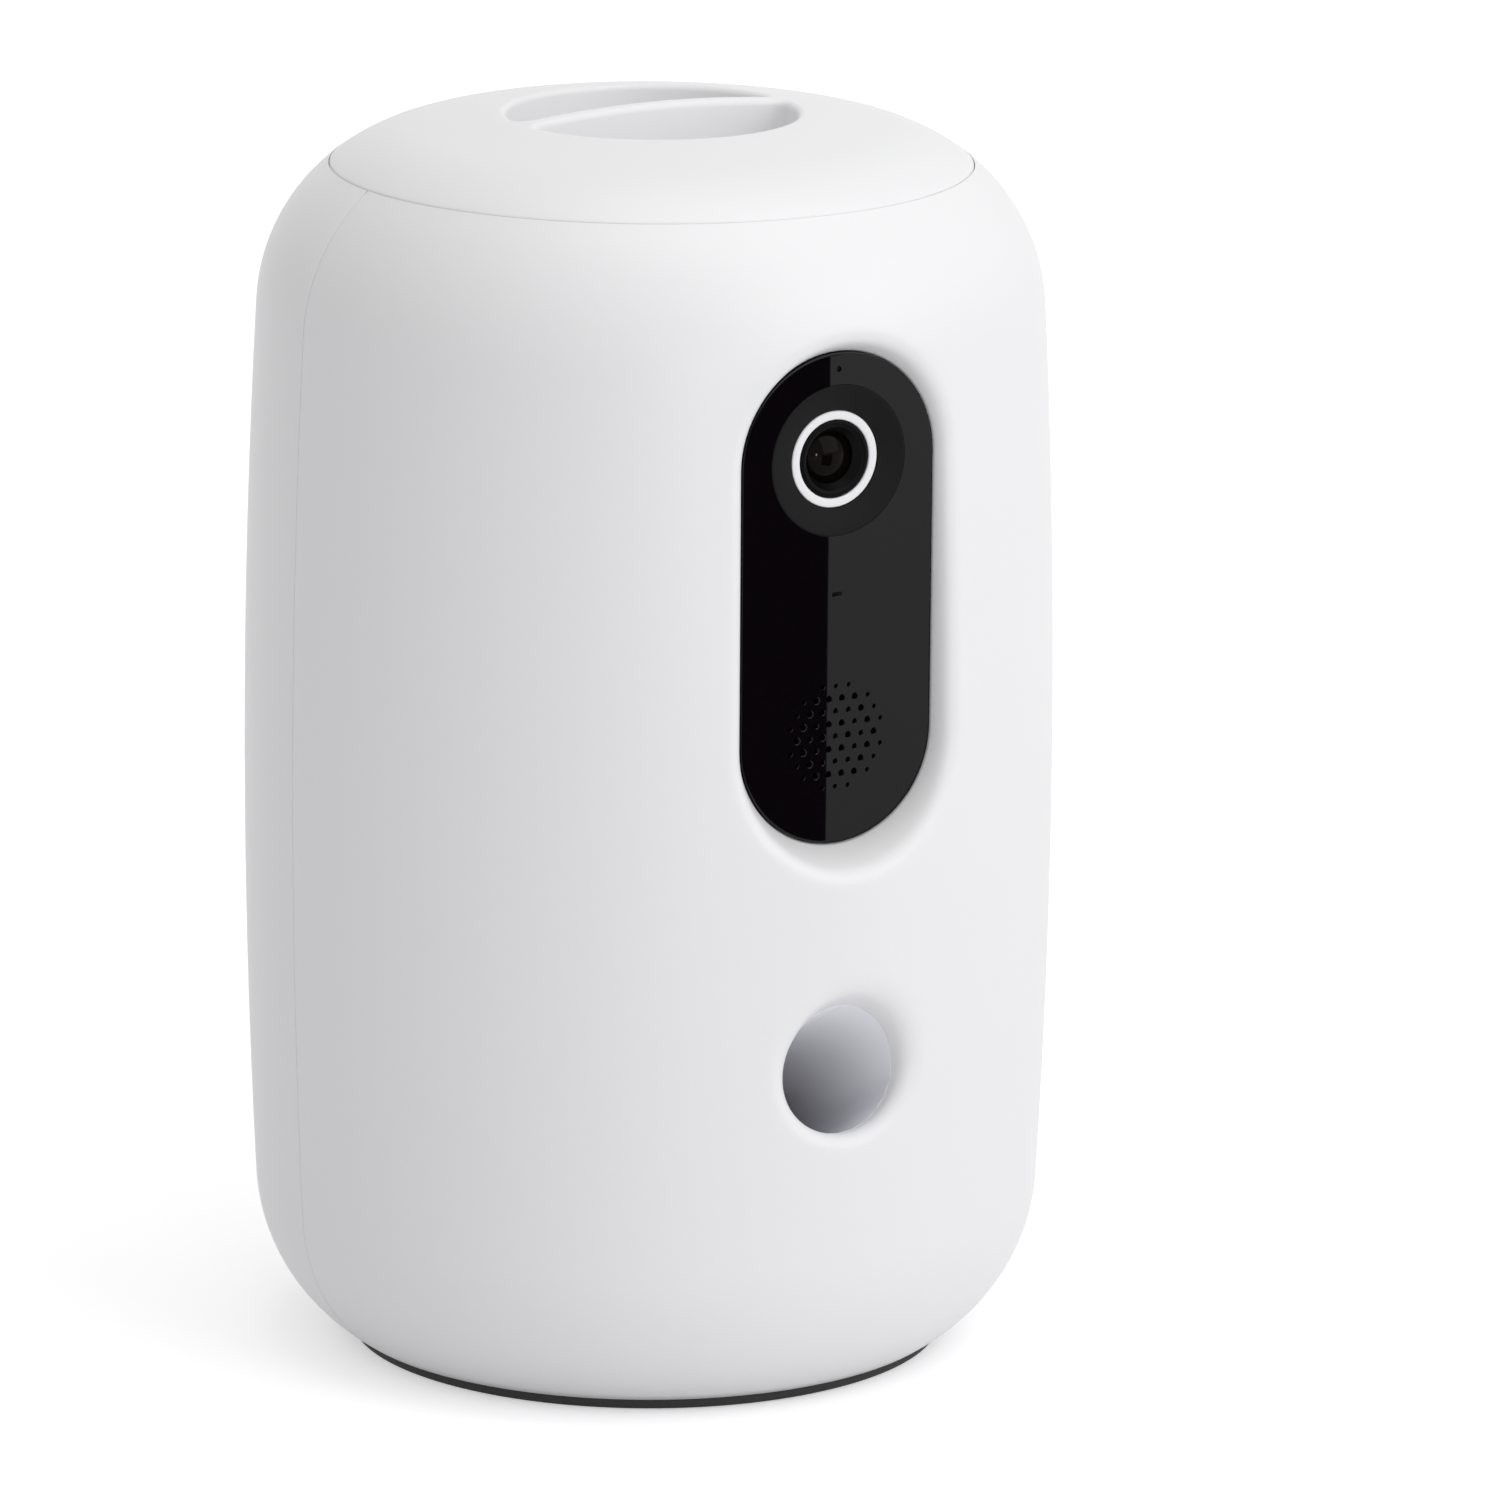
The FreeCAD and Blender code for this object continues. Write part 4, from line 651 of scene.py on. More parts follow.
def lid_cover():
    bm = bmesh.new()

    def on_top(spot):
        return Vector((spot.x, spot.y, dome_z(math.hypot(spot.x, spot.y))))

    edge_z = dome_z(LID_RADIUS)
    lip_z = edge_z - LIP_DROP
    skirt = LID_RADIUS - LID_SKIRT
    well = GRIP_RADIUS + GRIP_WALL
    rows = [(0.001, GRIP_UNDER), (well, GRIP_UNDER), (well, LID_CEILING), (skirt, LID_CEILING)]
    rows += [(skirt, LID_BOTTOM), (LID_RADIUS - LID_SOFT, LID_BOTTOM), (LID_RADIUS, LID_BOTTOM + LID_SOFT)]
    rows += [(LID_RADIUS, lip_z - 0.7), (LID_RADIUS + LIP_REACH, lip_z - 0.5)]
    rows += [(LID_RADIUS + LIP_REACH, lip_z), (LID_RADIUS, lip_z + 0.1)]
    rows += [(LID_RADIUS, edge_z - 0.15), (LID_RADIUS - 0.05, edge_z - 0.02)]
    for step in range(LID_STEPS + 1):
        radius = LID_RADIUS - 0.35 + (LID_PATCH - LID_RADIUS + 0.35) * step / LID_STEPS
        rows.append((radius, dome_z(radius)))
    rings = [
        [bm.verts.new((x, y, height)) for x, y, _, _ in round_outline((0, 0), radius, LID_SIDES)]
        for radius, height in rows
    ]
    strips(bm, rings)
    holes = []
    for side in (-1, 1):
        sections = []
        for x, y, nx, ny in grip_outline(side):
            away = Vector((nx, ny, 0))
            spot = Vector((x, y, 0))
            outer = on_top(spot + away * GRIP_SOFT)
            before = on_top(spot + away * (GRIP_SOFT - 0.05))
            wall_top = Vector((x, y, dome_z(math.hypot(x, y)) - GRIP_SOFT))
            lip = eased(outer, before - outer, wall_top, Vector((0, 0, 1)), 8)
            wall_foot = spot - away * 0.4
            wall_foot.z = GRIP_FLOOR + 1.2
            floor = spot - away * 1.6
            floor.z = GRIP_FLOOR
            sections.append(lip + eased(wall_foot, Vector((0, 0, -1)), floor, away, 5))
        loops = [[bm.verts.new(point) for point in points] for points in zip(*sections)]
        strips(bm, loops)
        bm.faces.new(loops[-1])
        holes.append(loops[0])
    extras = [(x * 2.2, y * 2.2) for x in range(-15, 16) for y in range(-15, 16)]
    extras += [(x * 1.4, 0) for x in range(-17, 18)]
    web(bm, rings[-1], holes, extras, lambda co: (co.x, co.y),
        lambda x, y: (x, y, dome_z(math.hypot(x, y))), 0.35)
    finished("lid_top", bm, "lid", "white_shell", "lid_cover")


def turned(name, outline, origin, way, body, slot, node, sides, coat=None):
    """A piece turned about an axis. Its outline, by radius and height, closes unless it's on the axis."""
    bm = bmesh.new()
    tilt = Vector((0, 0, 1)).rotation_difference(Vector(way))
    rings = []
    for radius, height in outline:
        spots = round_outline((0, 0), radius, sides) if radius else [(0, 0, 0, 0)]
        ring = [bm.verts.new(Vector(origin) + tilt @ Vector((x, y, height))) for x, y, _, _ in spots]
        rings.append(ring if radius else ring * sides)
    if outline[0][0]:
        rings.append(rings[0])
    strips(bm, rings)
    finished(name, bm, body, slot, node, coat)


def softened(node, name, body, slot, width, coat=None):
    """A moulded piece in its CAD shape, with its edges eased as a mould leaves them."""
    bm = bmesh.new()
    bm.from_mesh(frame["nodes"][node].data)
    for layer in list(bm.loops.layers.uv):
        bm.loops.layers.uv.remove(layer)
    bmesh.ops.remove_doubles(bm, verts=bm.verts, dist=CAD_WELD)
    bmesh.ops.dissolve_limit(bm, angle_limit=math.radians(0.5), verts=bm.verts, edges=bm.edges)
    plain = added(name + "_plain", mesh_of(name + "_plain", bm))
    bevel = plain.modifiers.new("EasedEdges", "BEVEL")
    bevel.width = width * MM
    bevel.segments = 2
    bevel.limit_method = "ANGLE"
    bevel.angle_limit = math.radians(32)
    bevel.use_clamp_overlap = True
    dressed(name, evaluated(plain), body, slot, node, coat)


# Node trees

def fill(tree, node, sockets):
    """Sets a node's sockets to values, or links them to nodes or to the outputs of nodes."""
    for label, sources in sockets.items():
        for source in sources if isinstance(sources, list) else [sources]:
            if isinstance(source, bpy.types.Node):
                source = source.outputs[0]
            if isinstance(source, bpy.types.NodeSocket):
                tree.links.new(source, node.inputs[label])
            else:
                node.inputs[label].default_value = source
    return node


def add_node(tree, kind, sockets, **choices):
    """A new node with its choices set and its sockets filled."""
    node = tree.nodes.new(kind)
    for label, choice in choices.items():
        setattr(node, label, choice)
    return fill(tree, node, sockets)


class Tree:
    """A geometry node tree built step by step. Its sizes are named inputs of the modifier."""

    def __init__(self, name, sizes):
        self.group = bpy.data.node_groups.new(name, "GeometryNodeTree")
        face = self.group.interface
        face.new_socket("Geometry", in_out="OUTPUT", socket_type="NodeSocketGeometry")
        face.new_socket("Geometry", in_out="INPUT", socket_type="NodeSocketGeometry")
        self.sizes = sizes
        self.sockets = {
            label: face.new_socket(label, in_out="INPUT", socket_type="NodeSocketFloat") for label in sizes
        }
        self.given = self.group.nodes.new("NodeGroupInput").outputs

    def add(self, kind, sockets, **choices):
        return add_node(self.group, "GeometryNode" + kind, sockets, **choices)

    def math(self, operation, first, second=0.0):
        return add_node(self.group, "ShaderNodeMath", {0: first, 1: second}, operation=operation)

    def plus(self, first, second):
        return self.math("ADD", first, second)

    def minus(self, first, second):
        return self.math("SUBTRACT", first, second)

    def times(self, first, second):
        return self.math("MULTIPLY", first, second)

    def equal(self, first, second):
        return add_node(self.group, "ShaderNodeMath", {0: first, 1: second, 2: 0.1}, operation="COMPARE")

    def vector(self, x, y, z):
        return add_node(self.group, "ShaderNodeCombineXYZ", {0: x, 1: y, 2: z})

    def moved(self, geometry, z):
        return self.add("Transform", {"Geometry": geometry, "Translation": self.vector(0.0, 0.0, z)})

    def joined(self, pieces):
        return self.add("JoinGeometry", {"Geometry": pieces})

    def mesh(self, name, geometry, material, source=None):
        """Runs the tree once, on a source mesh if there is one, and gives the plain mesh that comes out."""
        whole = self.add("RealizeInstances", {"Geometry": geometry})
        coated = self.add("SetMaterial", {"Geometry": whole, "Material": material})
        add_node(self.group, "NodeGroupOutput", {0: coated})
        holder = added(name, source or bpy.data.meshes.new(name + "_start"))
        modifier = holder.modifiers.new(name, "NODES")
        modifier.node_group = self.group
        for label, number in self.sizes.items():
            modifier[self.sockets[label].identifier] = float(number)
        return evaluated(holder)


# Front panel with its sound holes

def sound_field():
    """The round field of sound holes, face up: a hexagon of holes without its corners, whose sizes change
    from ring to ring, each hole with a small bevel at the front."""
    tree = Tree("SoundHoles", {
        "Pitch": HOLE_PITCH,
        "Field radius": FIELD_RADIUS,
        "Thickness": PANEL_FACE - PANEL_BACK,
        "Bevel depth": HOLE_BEVEL,
        "Bevel share": HOLE_FLARE,
        **{f"Hole radius {ring}": radius for ring, radius in enumerate(HOLE_RADII)},
    })
    pitch, field, thick, bevel, share, *radii = (tree.given[label] for label in tree.sizes)
    rings = len(HOLE_RADII) - 1
    span = 2 * rings + 1
    index = tree.add("InputIndex", {})
    row = tree.minus(tree.math("MODULO", index, span), rings)
    column = tree.minus(tree.math("FLOOR", tree.math("DIVIDE", index, span)), rings)
    both = tree.plus(row, column)
    ring = tree.math("MAXIMUM", tree.math("ABSOLUTE", row), tree.math("ABSOLUTE", column))
    ring = tree.math("MAXIMUM", ring, tree.math("ABSOLUTE", both))
    spoke = tree.equal(tree.times(tree.times(row, column), both), 0.0)
    corner = tree.times(spoke, tree.equal(ring, rings))
    left_out = tree.plus(corner, tree.math("GREATER_THAN", ring, rings + 0.5))
    across = tree.times(tree.plus(column, tree.times(row, 0.5)), pitch)
    up = tree.times(tree.times(row, math.sqrt(3) / 2), pitch)
    radius = 0.0
    for number, size in enumerate(radii):
        radius = tree.plus(radius, tree.times(tree.equal(ring, number), size))
    points = tree.add("Points", {"Count": span * span, "Position": tree.vector(across, up, 0.0)})
    sized = tree.add("StoreNamedAttribute", {"Geometry": points, "Name": "hole", "Value": radius},
                     data_type="FLOAT", domain="POINT")
    kept = tree.add("DeleteGeometry", {"Geometry": sized, "Selection": left_out}, domain="POINT")
    hole = tree.add("InputNamedAttribute", {"Name": "hole"}, data_type="FLOAT")

    def at_holes(shape, scale):
        size = tree.vector(scale, scale, 1.0)
        placed = tree.add("InstanceOnPoints", {"Points": kept, "Instance": shape, "Scale": size})
        return tree.add("RealizeInstances", {"Geometry": placed})

    circle = tree.add("CurvePrimitiveCircle", {"Resolution": HOLE_SIDES, "Radius": 1.0})
    rim = tree.add("CurvePrimitiveCircle", {"Resolution": FIELD_SIDES, "Radius": field})

    def sieve(scale):
        return tree.add("FillCurve", {"Curve": tree.joined([rim, at_holes(circle, scale)])})

    tube = {"Vertices": HOLE_SIDES, "Radius": 1.0, "Depth": tree.minus(thick, bevel)}
    tube = tree.add("MeshCylinder", tube, fill_type="NONE")
    tube = tree.moved(tube, tree.times(tree.plus(thick, bevel), -0.5))
    flare = {"Vertices": HOLE_SIDES, "Radius Top": share, "Radius Bottom": 1.0, "Depth": bevel}
    flare = tree.add("MeshCone", flare, fill_type="NONE")
    flare = tree.moved(flare, tree.times(bevel, -1.0))
    back = tree.moved(sieve(hole), tree.times(thick, -1.0))
    sleeves = at_holes(tree.joined([tube, flare]), hole)
    plate = tree.joined([sieve(tree.times(hole, share)), back, sleeves])
    merged = tree.add("MergeByDistance", {"Geometry": plate, "Distance": 0.002})
    return tree.mesh("SoundHoles", merged, coats["black_panel"])


def front_panel():
    """The glossy plate: a pill with soft edges, the camera's opening, the microphone hole, the lamp slot
    and the field of sound holes."""
    bm = bmesh.new()
    field = sound_field()
    field.transform(Matrix.Translation((0, -PANEL_FACE, PANEL_LOW)) @ Matrix.Rotation(math.pi / 2, 4, "X"))
    bm.from_mesh(field)

    def ring(stations, grow, depth):
        return [
            bm.verts.new((x + nx * grow, depth - PANEL_FACE, z + nz * grow)) for x, z, nx, nz in stations
        ]

    thick = PANEL_FACE - PANEL_BACK
    outline = pill_outline(PANEL_HALF, PANEL_HIGH, PANEL_LOW)
    edge = [ring(outline, grow, depth) for grow, depth in PANEL_EDGE]
    lamp_x, lamp_z = LAMP_WIDTH / 2, LAMP_SLOT / 2
    openings = [
        (round_outline((0, PANEL_HIGH), BEZEL_RADIUS + 0.02, CAMERA_SIDES), 0.04),
        (round_outline((0, MIC_Z), MIC_RADIUS, MIC_SIDES), 0.1),
        (box_outline((-lamp_x, lamp_x), (LAMP_Z - lamp_z, LAMP_Z + lamp_z), 0.2, 4, 2), 0.06),
    ]
    fronts, backs = [], []
    for stations, soft in openings:
        rings = [ring(stations, soft, 0), ring(stations, 0, soft), ring(stations, 0, thick)]
        fronts.append(rings[0])
        backs.append(rings[-1])
        strips(bm, rings)
    rim = round_outline((0, PANEL_LOW), FIELD_RADIUS, FIELD_SIDES)
    strips(bm, edge)
    for loop, holes, depth in ((edge[0], fronts, 0), (edge[-1], backs, thick)):
        web(bm, loop, holes + [ring(rim, 0, depth)], [], from_the_side, None)
    bmesh.ops.remove_doubles(bm, verts=bm.verts, dist=PANEL_WELD)
    finished("panel_plate", bm, "housing", "black_panel", "front_panel")


def camera_pieces():
    """Dish, light ring, lens barrel and glass, and the gauze in the microphone hole."""
    forward = (0, -1, 0)
    dish, outer, inner, barrel, lens = BEZEL_RADIUS, LIGHT_OUTER, LIGHT_INNER, BARREL_RADIUS, GLASS_RADIUS
    light = -DISH_DEPTH
    glass = light - GLASS_SETBACK
    board = BOARD_FRONT - PANEL_FACE

    def part(name, outline, slot, node, coat=None):
        centre = (0, -PANEL_FACE, PANEL_HIGH)
        turned(name, outline, centre, forward, "housing", slot, node, CAMERA_SIDES, coat)

    part("camera_dish", [
        (dish, -8), (dish, -0.12), (dish - 0.04, -0.05), (dish - 0.12, -0.02), (dish - 0.4, -0.03),
        (outer + 0.5, light + 0.1), (outer + 0.12, light - 0.02), (outer + 0.03, light - 0.2),
        (outer + 0.03, -8),
    ], "black_plastic", "camera_bezel")
    part("light_band", [
        (outer - 0.05, light - 5), (outer - 0.05, light - 0.2), (outer - 0.2, light - 0.04),
        (outer - 0.45, light), (inner + 0.45, light), (inner + 0.2, light - 0.04),
        (inner + 0.04, light - 0.2), (inner + 0.04, light - 5),
    ], "light_diffuser", "light_ring")
    part("lens_housing", [
        (0, board), (barrel, board), (barrel, light - 0.35), (barrel - 0.08, light - 0.16),
        (barrel - 0.3, light - 0.1), (lens + 1.2, light - 0.1), (lens + 1.05, light - 0.2),
        (lens + 0.35, glass + 0.25), (lens + 0.1, glass + 0.1), (lens, glass - 0.1), (lens, glass - 2.1),
        (lens - 1.4, glass - 3.2), (lens - 1.9, glass - 5), (0, glass - 5),
    ], "black_plastic", "lens_barrel", "barrel")
    rim = lens - 0.06
    bulge = [(0, glass - 0.9), (rim, glass - 0.9)]
    spread = math.asin(rim / GLASS_CURVE)
    for step in range(GLASS_STEPS + 1):
        turn = spread * (1 - step / GLASS_STEPS)
        rise = math.cos(turn) - math.cos(spread)
        bulge.append((GLASS_CURVE * math.sin(turn), glass - 0.5 + GLASS_CURVE * rise))
    part("lens_front", bulge, "lens", "lens_glass")
    gauze = MIC_RADIUS - 0.03
    turned("mic_gauze", [(0, -1.7), (gauze, -1.7), (gauze, -0.5), (0, -0.5)],
           (0, -PANEL_FACE, MIC_Z), forward, "housing", "black_plastic", None, MIC_SIDES)


# Screws, each set with its way in, its head radius and height, its thread radius and its length

SCREW_SETS = (
    ("base_screws", "housing", (0, 0, 1), 2.3, 1.5, 1.1, 8),
    ("leg_screws", "housing", (0, 0, 1), 2.3, 1.5, 1.1, 6),
    ("flange_screws", "housing", (0, 0, 1), 2.3, 1.5, 1.1, 7.4),
    ("bracket_screws", "housing", (0, 0, 1), 2.3, 1.5, 1.1, 13),
    ("feed_motor_screws", "housing", (0, 0, -1), 2, 1.2, 1.1, 5),
    ("tosser_screws", "housing", (-1, 0, 0), 2, 1.5, 1.1, 14),
    ("toss_motor_screws", "housing", (-1, 0, 0), 2, 1.3, 1.1, 4.2),
    ("camera_board_screws", "housing", (0, -1, 0), 2.3, 1.5, 0.8, 7),
    ("board_screws", "housing", (0, 0, -1), 2.3, 1.5, 0.8, 6.5),
    ("lid_screws", "lid", (0, 0, 1), 2.3, 1.5, 1.1, 10.5),
)
THREAD_PITCH = 0.8
THREAD_DEPTH = 0.22
THREAD_TIP = 0.6
THREAD_START = 0.2
CORE_SIDES = 16
HEAD_SIDES = 24

# Shares of the head's radius: where its rim is cut, and the length and width of the cross recess
HEAD_CUT = 0.97
CROSS_LENGTH = 1.15
CROSS_WIDTH = 0.26
CROSS_LIFT = -0.95


def screw_set(node, body, way, head, head_height, thread, length):
    """One set of screws with domed heads, cross recesses and turned threads, at the CAD screws' places."""
    tree = Tree("Screw_" + node, {
        "Head radius": head,
        "Head height": head_height,
        "Thread radius": thread,
        "Length": length,
        "Thread depth": THREAD_DEPTH,
    })
    wide, tall, outer, long, depth = (tree.given[label] for label in tree.sizes)
    dome = tree.add("MeshUVSphere", {"Segments": HEAD_SIDES, "Rings": 12, "Radius": 1.0})
    dome = tree.add("Transform", {"Geometry": dome, "Scale": tree.vector(wide, wide, tall)})
    low = tree.times(tall, 3.0)
    keep = tree.add("MeshCylinder", {
        "Vertices": HEAD_SIDES, "Radius": tree.times(wide, HEAD_CUT), "Depth": low})
    keep = tree.moved(keep, tree.times(low, -0.5))
    shell = tree.add("MeshBoolean", {"Mesh 2": [dome, keep]}, operation="INTERSECT", solver="EXACT")
    along, across = tree.times(wide, CROSS_LENGTH), tree.times(wide, CROSS_WIDTH)
    bars = []
    for size in ((along, across), (across, along)):
        bar = tree.add("MeshCube", {"Size": tree.vector(*size, tall)})
        bars.append(tree.moved(bar, tree.times(tall, CROSS_LIFT)))
    recessed = tree.add("MeshBoolean", {"Mesh 1": shell, "Mesh 2": bars},
                        operation="DIFFERENCE", solver="EXACT")
    core_radius = tree.minus(outer, depth)
    core = tree.add("MeshCylinder", {"Vertices": CORE_SIDES, "Radius": core_radius, "Depth": long})
    core = tree.moved(core, tree.times(long, 0.5))
    threaded = tree.minus(long, THREAD_TIP)
    path = tree.add("CurveSpiral", {
        "Resolution": 12,
        "Rotations": tree.math("DIVIDE", threaded, THREAD_PITCH),
        "Start Radius": core_radius,
        "End Radius": core_radius,
        "Height": threaded,
    })
    ridge = tree.add("CurvePrimitiveCircle", {"Resolution": 3, "Radius": depth})
    coil = tree.add("CurveToMesh", {"Curve": path, "Profile Curve": ridge, "Fill Caps": True})
    screw = tree.joined([recessed, core, tree.moved(coil, THREAD_START)])
    turn = Vector((0, 0, 1)).rotation_difference(Vector(way)).to_euler()
    source = bpy.data.meshes.new(node + "_places")
    source.from_pydata(screw_places(node, Vector(way), head_height), [], [])
    placed = tree.add("InstanceOnPoints", {
        "Points": tree.given["Geometry"], "Instance": screw, "Rotation": tuple(turn)})
    made = tree.mesh(node + "_made", placed, coats["steel"], source)
    made.transform(Matrix.Scale(MM, 4))
    dressed(node + "_turned", made, body, "steel", node)


def screw_places(node, way, head_height):
    """Where each CAD screw's head bears, in millimetres, found from the separate parts of its node."""
    bm = bmesh.new()
    bm.from_mesh(frame["nodes"][node].data)
    bmesh.ops.remove_doubles(bm, verts=bm.verts, dist=CAD_WELD)
    places, waiting = [], set(bm.verts)
    while waiting:
        island, edge = [], [waiting.pop()]
        while edge:
            vert = edge.pop()
            island.append(vert.co / MM)
            near = {other for link in vert.link_edges for other in link.verts} & waiting
            waiting -= near
            edge += near
        lows = [min(co[axis] for co in island) for axis in range(3)]
        highs = [max(co[axis] for co in island) for axis in range(3)]
        middle = (Vector(lows) + Vector(highs)) / 2
        start = min(co.dot(way) for co in island)
        places.append(middle + way * (start + head_height - middle.dot(way)))
    bm.free()
    return sorted(places, key=lambda place: tuple(round(c, 2) for c in place))


# Base, lid and hopper pieces, and what shows at the back

def base_pieces():
    turned("foot_band", [
        (FOOT_INNER, RIM_Z), (FOOT_INNER, 0.4), (FOOT_INNER + 0.4, 0), (FOOT_OUTER - 0.7, 0),
        (FOOT_OUTER - 0.2, 0.2), (FOOT_OUTER, 0.7), (FOOT_OUTER, RIM_Z),
    ], (0, 0, 0), (0, 0, 1), "housing", "rubber", "foot_ring", LID_SIDES)
    softened("base_plate", "base_cover", "housing", "grey_plastic", 0.3)


def lid_pieces():
    softened("lid_liner", "lid_lining", "lid", "hopper_plastic", 0.3)
    middle = (SEAL_TOP + SEAL_BOTTOM) / 2
    bead = [(LINER_RADIUS, SEAL_BOTTOM)]
    for step in range(9):
        turn = math.pi * (step / 8 - 0.5)
        radius = SEAL_RADIUS - SEAL_SOFT + SEAL_SOFT * math.cos(turn)
        bead.append((radius, middle + (SEAL_TOP - middle) * math.sin(turn)))
    bead.append((LINER_RADIUS, SEAL_TOP))
    turned("lid_gasket", bead, (0, 0, 0), (0, 0, 1), "lid", "silicone", "lid_seal", LID_SIDES)


def rear_pieces():
    softened("power_inlet", "power_socket", "housing", "steel", 0.25)
    stem = RESET_RADIUS - 0.05
    collar = RESET_RADIUS + 1
    turned("reset_cap", [
        (0, 54.9), (stem, 54.9), (stem, 57.4), (collar, 57.4), (collar, 58.4), (stem, 58.4),
        (stem, RESET_FACE - 0.35), (RESET_RADIUS - 0.15, RESET_FACE - 0.1), (RESET_RADIUS - 0.45, RESET_FACE),
        (RESET_RADIUS - 0.8, RESET_FACE - 0.05), (0, RESET_FACE - 0.25),
    ], (RESET_X, 0, SOCKET_Z), (0, 1, 0), "reset", "black_plastic", "reset_button", 48)


# Mouldings with eased edges: node, name, body, slot, edge width, and the coat where it isn't the slot's
SOFTENED = (
    ("treat_hopper", "hopper_bin", "housing", "hopper_plastic", 0.4),
    ("drop_guard", "drop_cover", "housing", "hopper_plastic", 0.25),
    ("feed_wheel", "feed_star", "feed_rotor", "hopper_plastic", 0.35),
    ("stirrer", "stirrer_arms", "feed_rotor", "hopper_plastic", 0.4),
    # The tosser halves wear a lightened copy of the grey moulding: painted light inside the shaded treat
    # mouth
    ("tosser_housing_left", "tosser_left", "housing", "grey_plastic", 0.25, "tosser"),
    ("tosser_housing_right", "tosser_right", "housing", "grey_plastic", 0.25, "tosser"),
    ("toss_hub", "paddle_hub", "toss_rotor", "grey_plastic", 0.25),
    ("toss_paddles", "paddle_flaps", "toss_rotor", "rubber", 0.35),
    ("gear_bracket", "gear_plate", "housing", "grey_plastic", 0.25),
    ("indicator_lens", "lamp_window", "housing", "light_diffuser", 0.08, "lamp"),
)


# Materials

def finish(name, colour, roughness, grain=0, spacing=1, drift=0, specular=0.5, metallic=0):
    """A plastic, rubber or metal finish. Grain is the height of the fine texture in millimetres, spacing
    the distance between its grains, and drift how far the roughness wanders over the surface."""
    material = bpy.data.materials.new(name)
    material.use_nodes = True
    tree = material.node_tree
    shader = fill(tree, tree.nodes["Principled BSDF"], {
        "Base Color": (*colour, 1), "Roughness": roughness, "Metallic": metallic,
        "Specular IOR Level": specular})
    place = tree.nodes.new("ShaderNodeTexCoord").outputs["Object"]
    if grain:
        fine = {"Vector": place, "Scale": 1 / (spacing * MM), "Detail": 2}
        bump = {"Height": add_node(tree, "ShaderNodeTexNoise", fine), "Strength": 1, "Distance": grain * MM}
        fill(tree, shader, {"Normal": add_node(tree, "ShaderNodeBump", bump)})
    if drift:
        wide = add_node(tree, "ShaderNodeTexNoise", {"Vector": place, "Scale": 22, "Detail": 3})
        spread = {"Value": wide, "To Min": roughness - drift, "To Max": roughness + drift}
        fill(tree, shader, {"Roughness": add_node(tree, "ShaderNodeMapRange", spread)})
    return material


# The finish of each slot, and of four pieces that have their own: name, colour, roughness, grain, spacing
# and drift, then the specular level and the metal where they are special
FINISHES = {
    "white_shell": ("white_satin", (0.86, 0.86, 0.87), 0.42, 0.004, 0.5, 0.03),
    "black_panel": ("black_gloss", (0.003, 0.002, 0.003), 0.012, 0.0002, 6, 0.003, 0.19),
    "black_plastic": ("dish_black", (0.006, 0.006, 0.006), 0.48, 0.002, 0.3, 0.03, 0.1),
    "barrel": ("barrel_black", (0.002, 0.002, 0.002), 0.35, 0.002, 0.3, 0.02, 0.07),
    "light_diffuser": ("ring_white", (0.86, 0.86, 0.88), 0.35, 0.002, 0.4, 0.02),
    "lens": ("lens_dark", (0.003, 0.002, 0.0015), 0.03, 0.0002, 5, 0.01, 0.05),
    "lamp": ("lamp_smoke", (0.002, 0.002, 0.002), 0.3, 0.001, 0.4, 0.02, 0.05),
    "rubber": ("foot_rubber", (0.02, 0.02, 0.02), 0.7, 0.02, 0.7, 0.05),
    "silicone": ("seal_silicone", (0.62, 0.63, 0.65), 0.5, 0.006, 0.6, 0.04),
    # The tosser's tube is the grey moulding made lighter, which paints light into the shaded treat mouth
    "tosser": ("tube_moulding_painted_light", (0.9, 0.9, 0.94), 0.45, 0.006, 0.5, 0.04),
    "grey_plastic": ("grey_moulding", (0.55, 0.55, 0.6), 0.45, 0.006, 0.5, 0.04),
    "hopper_plastic": ("hopper_moulding", (0.78, 0.79, 0.81), 0.4, 0.005, 0.5, 0.04),
    "gear_plastic": ("gear_nylon", (0.8, 0.79, 0.74), 0.4, 0.004, 0.4, 0.04),
    "steel": ("screw_steel", (0.5, 0.5, 0.51), 0.3, 0.002, 0.3, 0.06, 0.5, 1),
    "bronze": ("bush_bronze", (0.5, 0.34, 0.16), 0.35, 0.004, 0.3, 0.06, 0.5, 1),
    "speaker_paper": ("cone_paper", (0.03, 0.03, 0.03), 0.8, 0.03, 0.5, 0.05),
    "circuit_board": ("board_green", (0.02, 0.16, 0.08), 0.4, 0.004, 0.8, 0.05),
    "lead_jacket": ("lead_jacket", (0.05, 0.05, 0.055), 0.5, 0.01, 0.6, 0.05),
}
coats = {use: finish(*values) for use, values in FINISHES.items()}
for subpart in frame["record"]["subparts"]:
    node_mesh = frame["nodes"][subpart["node"]].data
    node_mesh.materials.clear()
    node_mesh.materials.append(coats[subpart["material_slot"]])


# The pieces

front_shell()
rear_shell()
lid_cover()
front_panel()
camera_pieces()
base_pieces()
lid_pieces()
rear_pieces()
for moulding in SOFTENED:
    softened(*moulding)
for screws in SCREW_SETS:
    screw_set(*screws)


# Camera, floor and lights

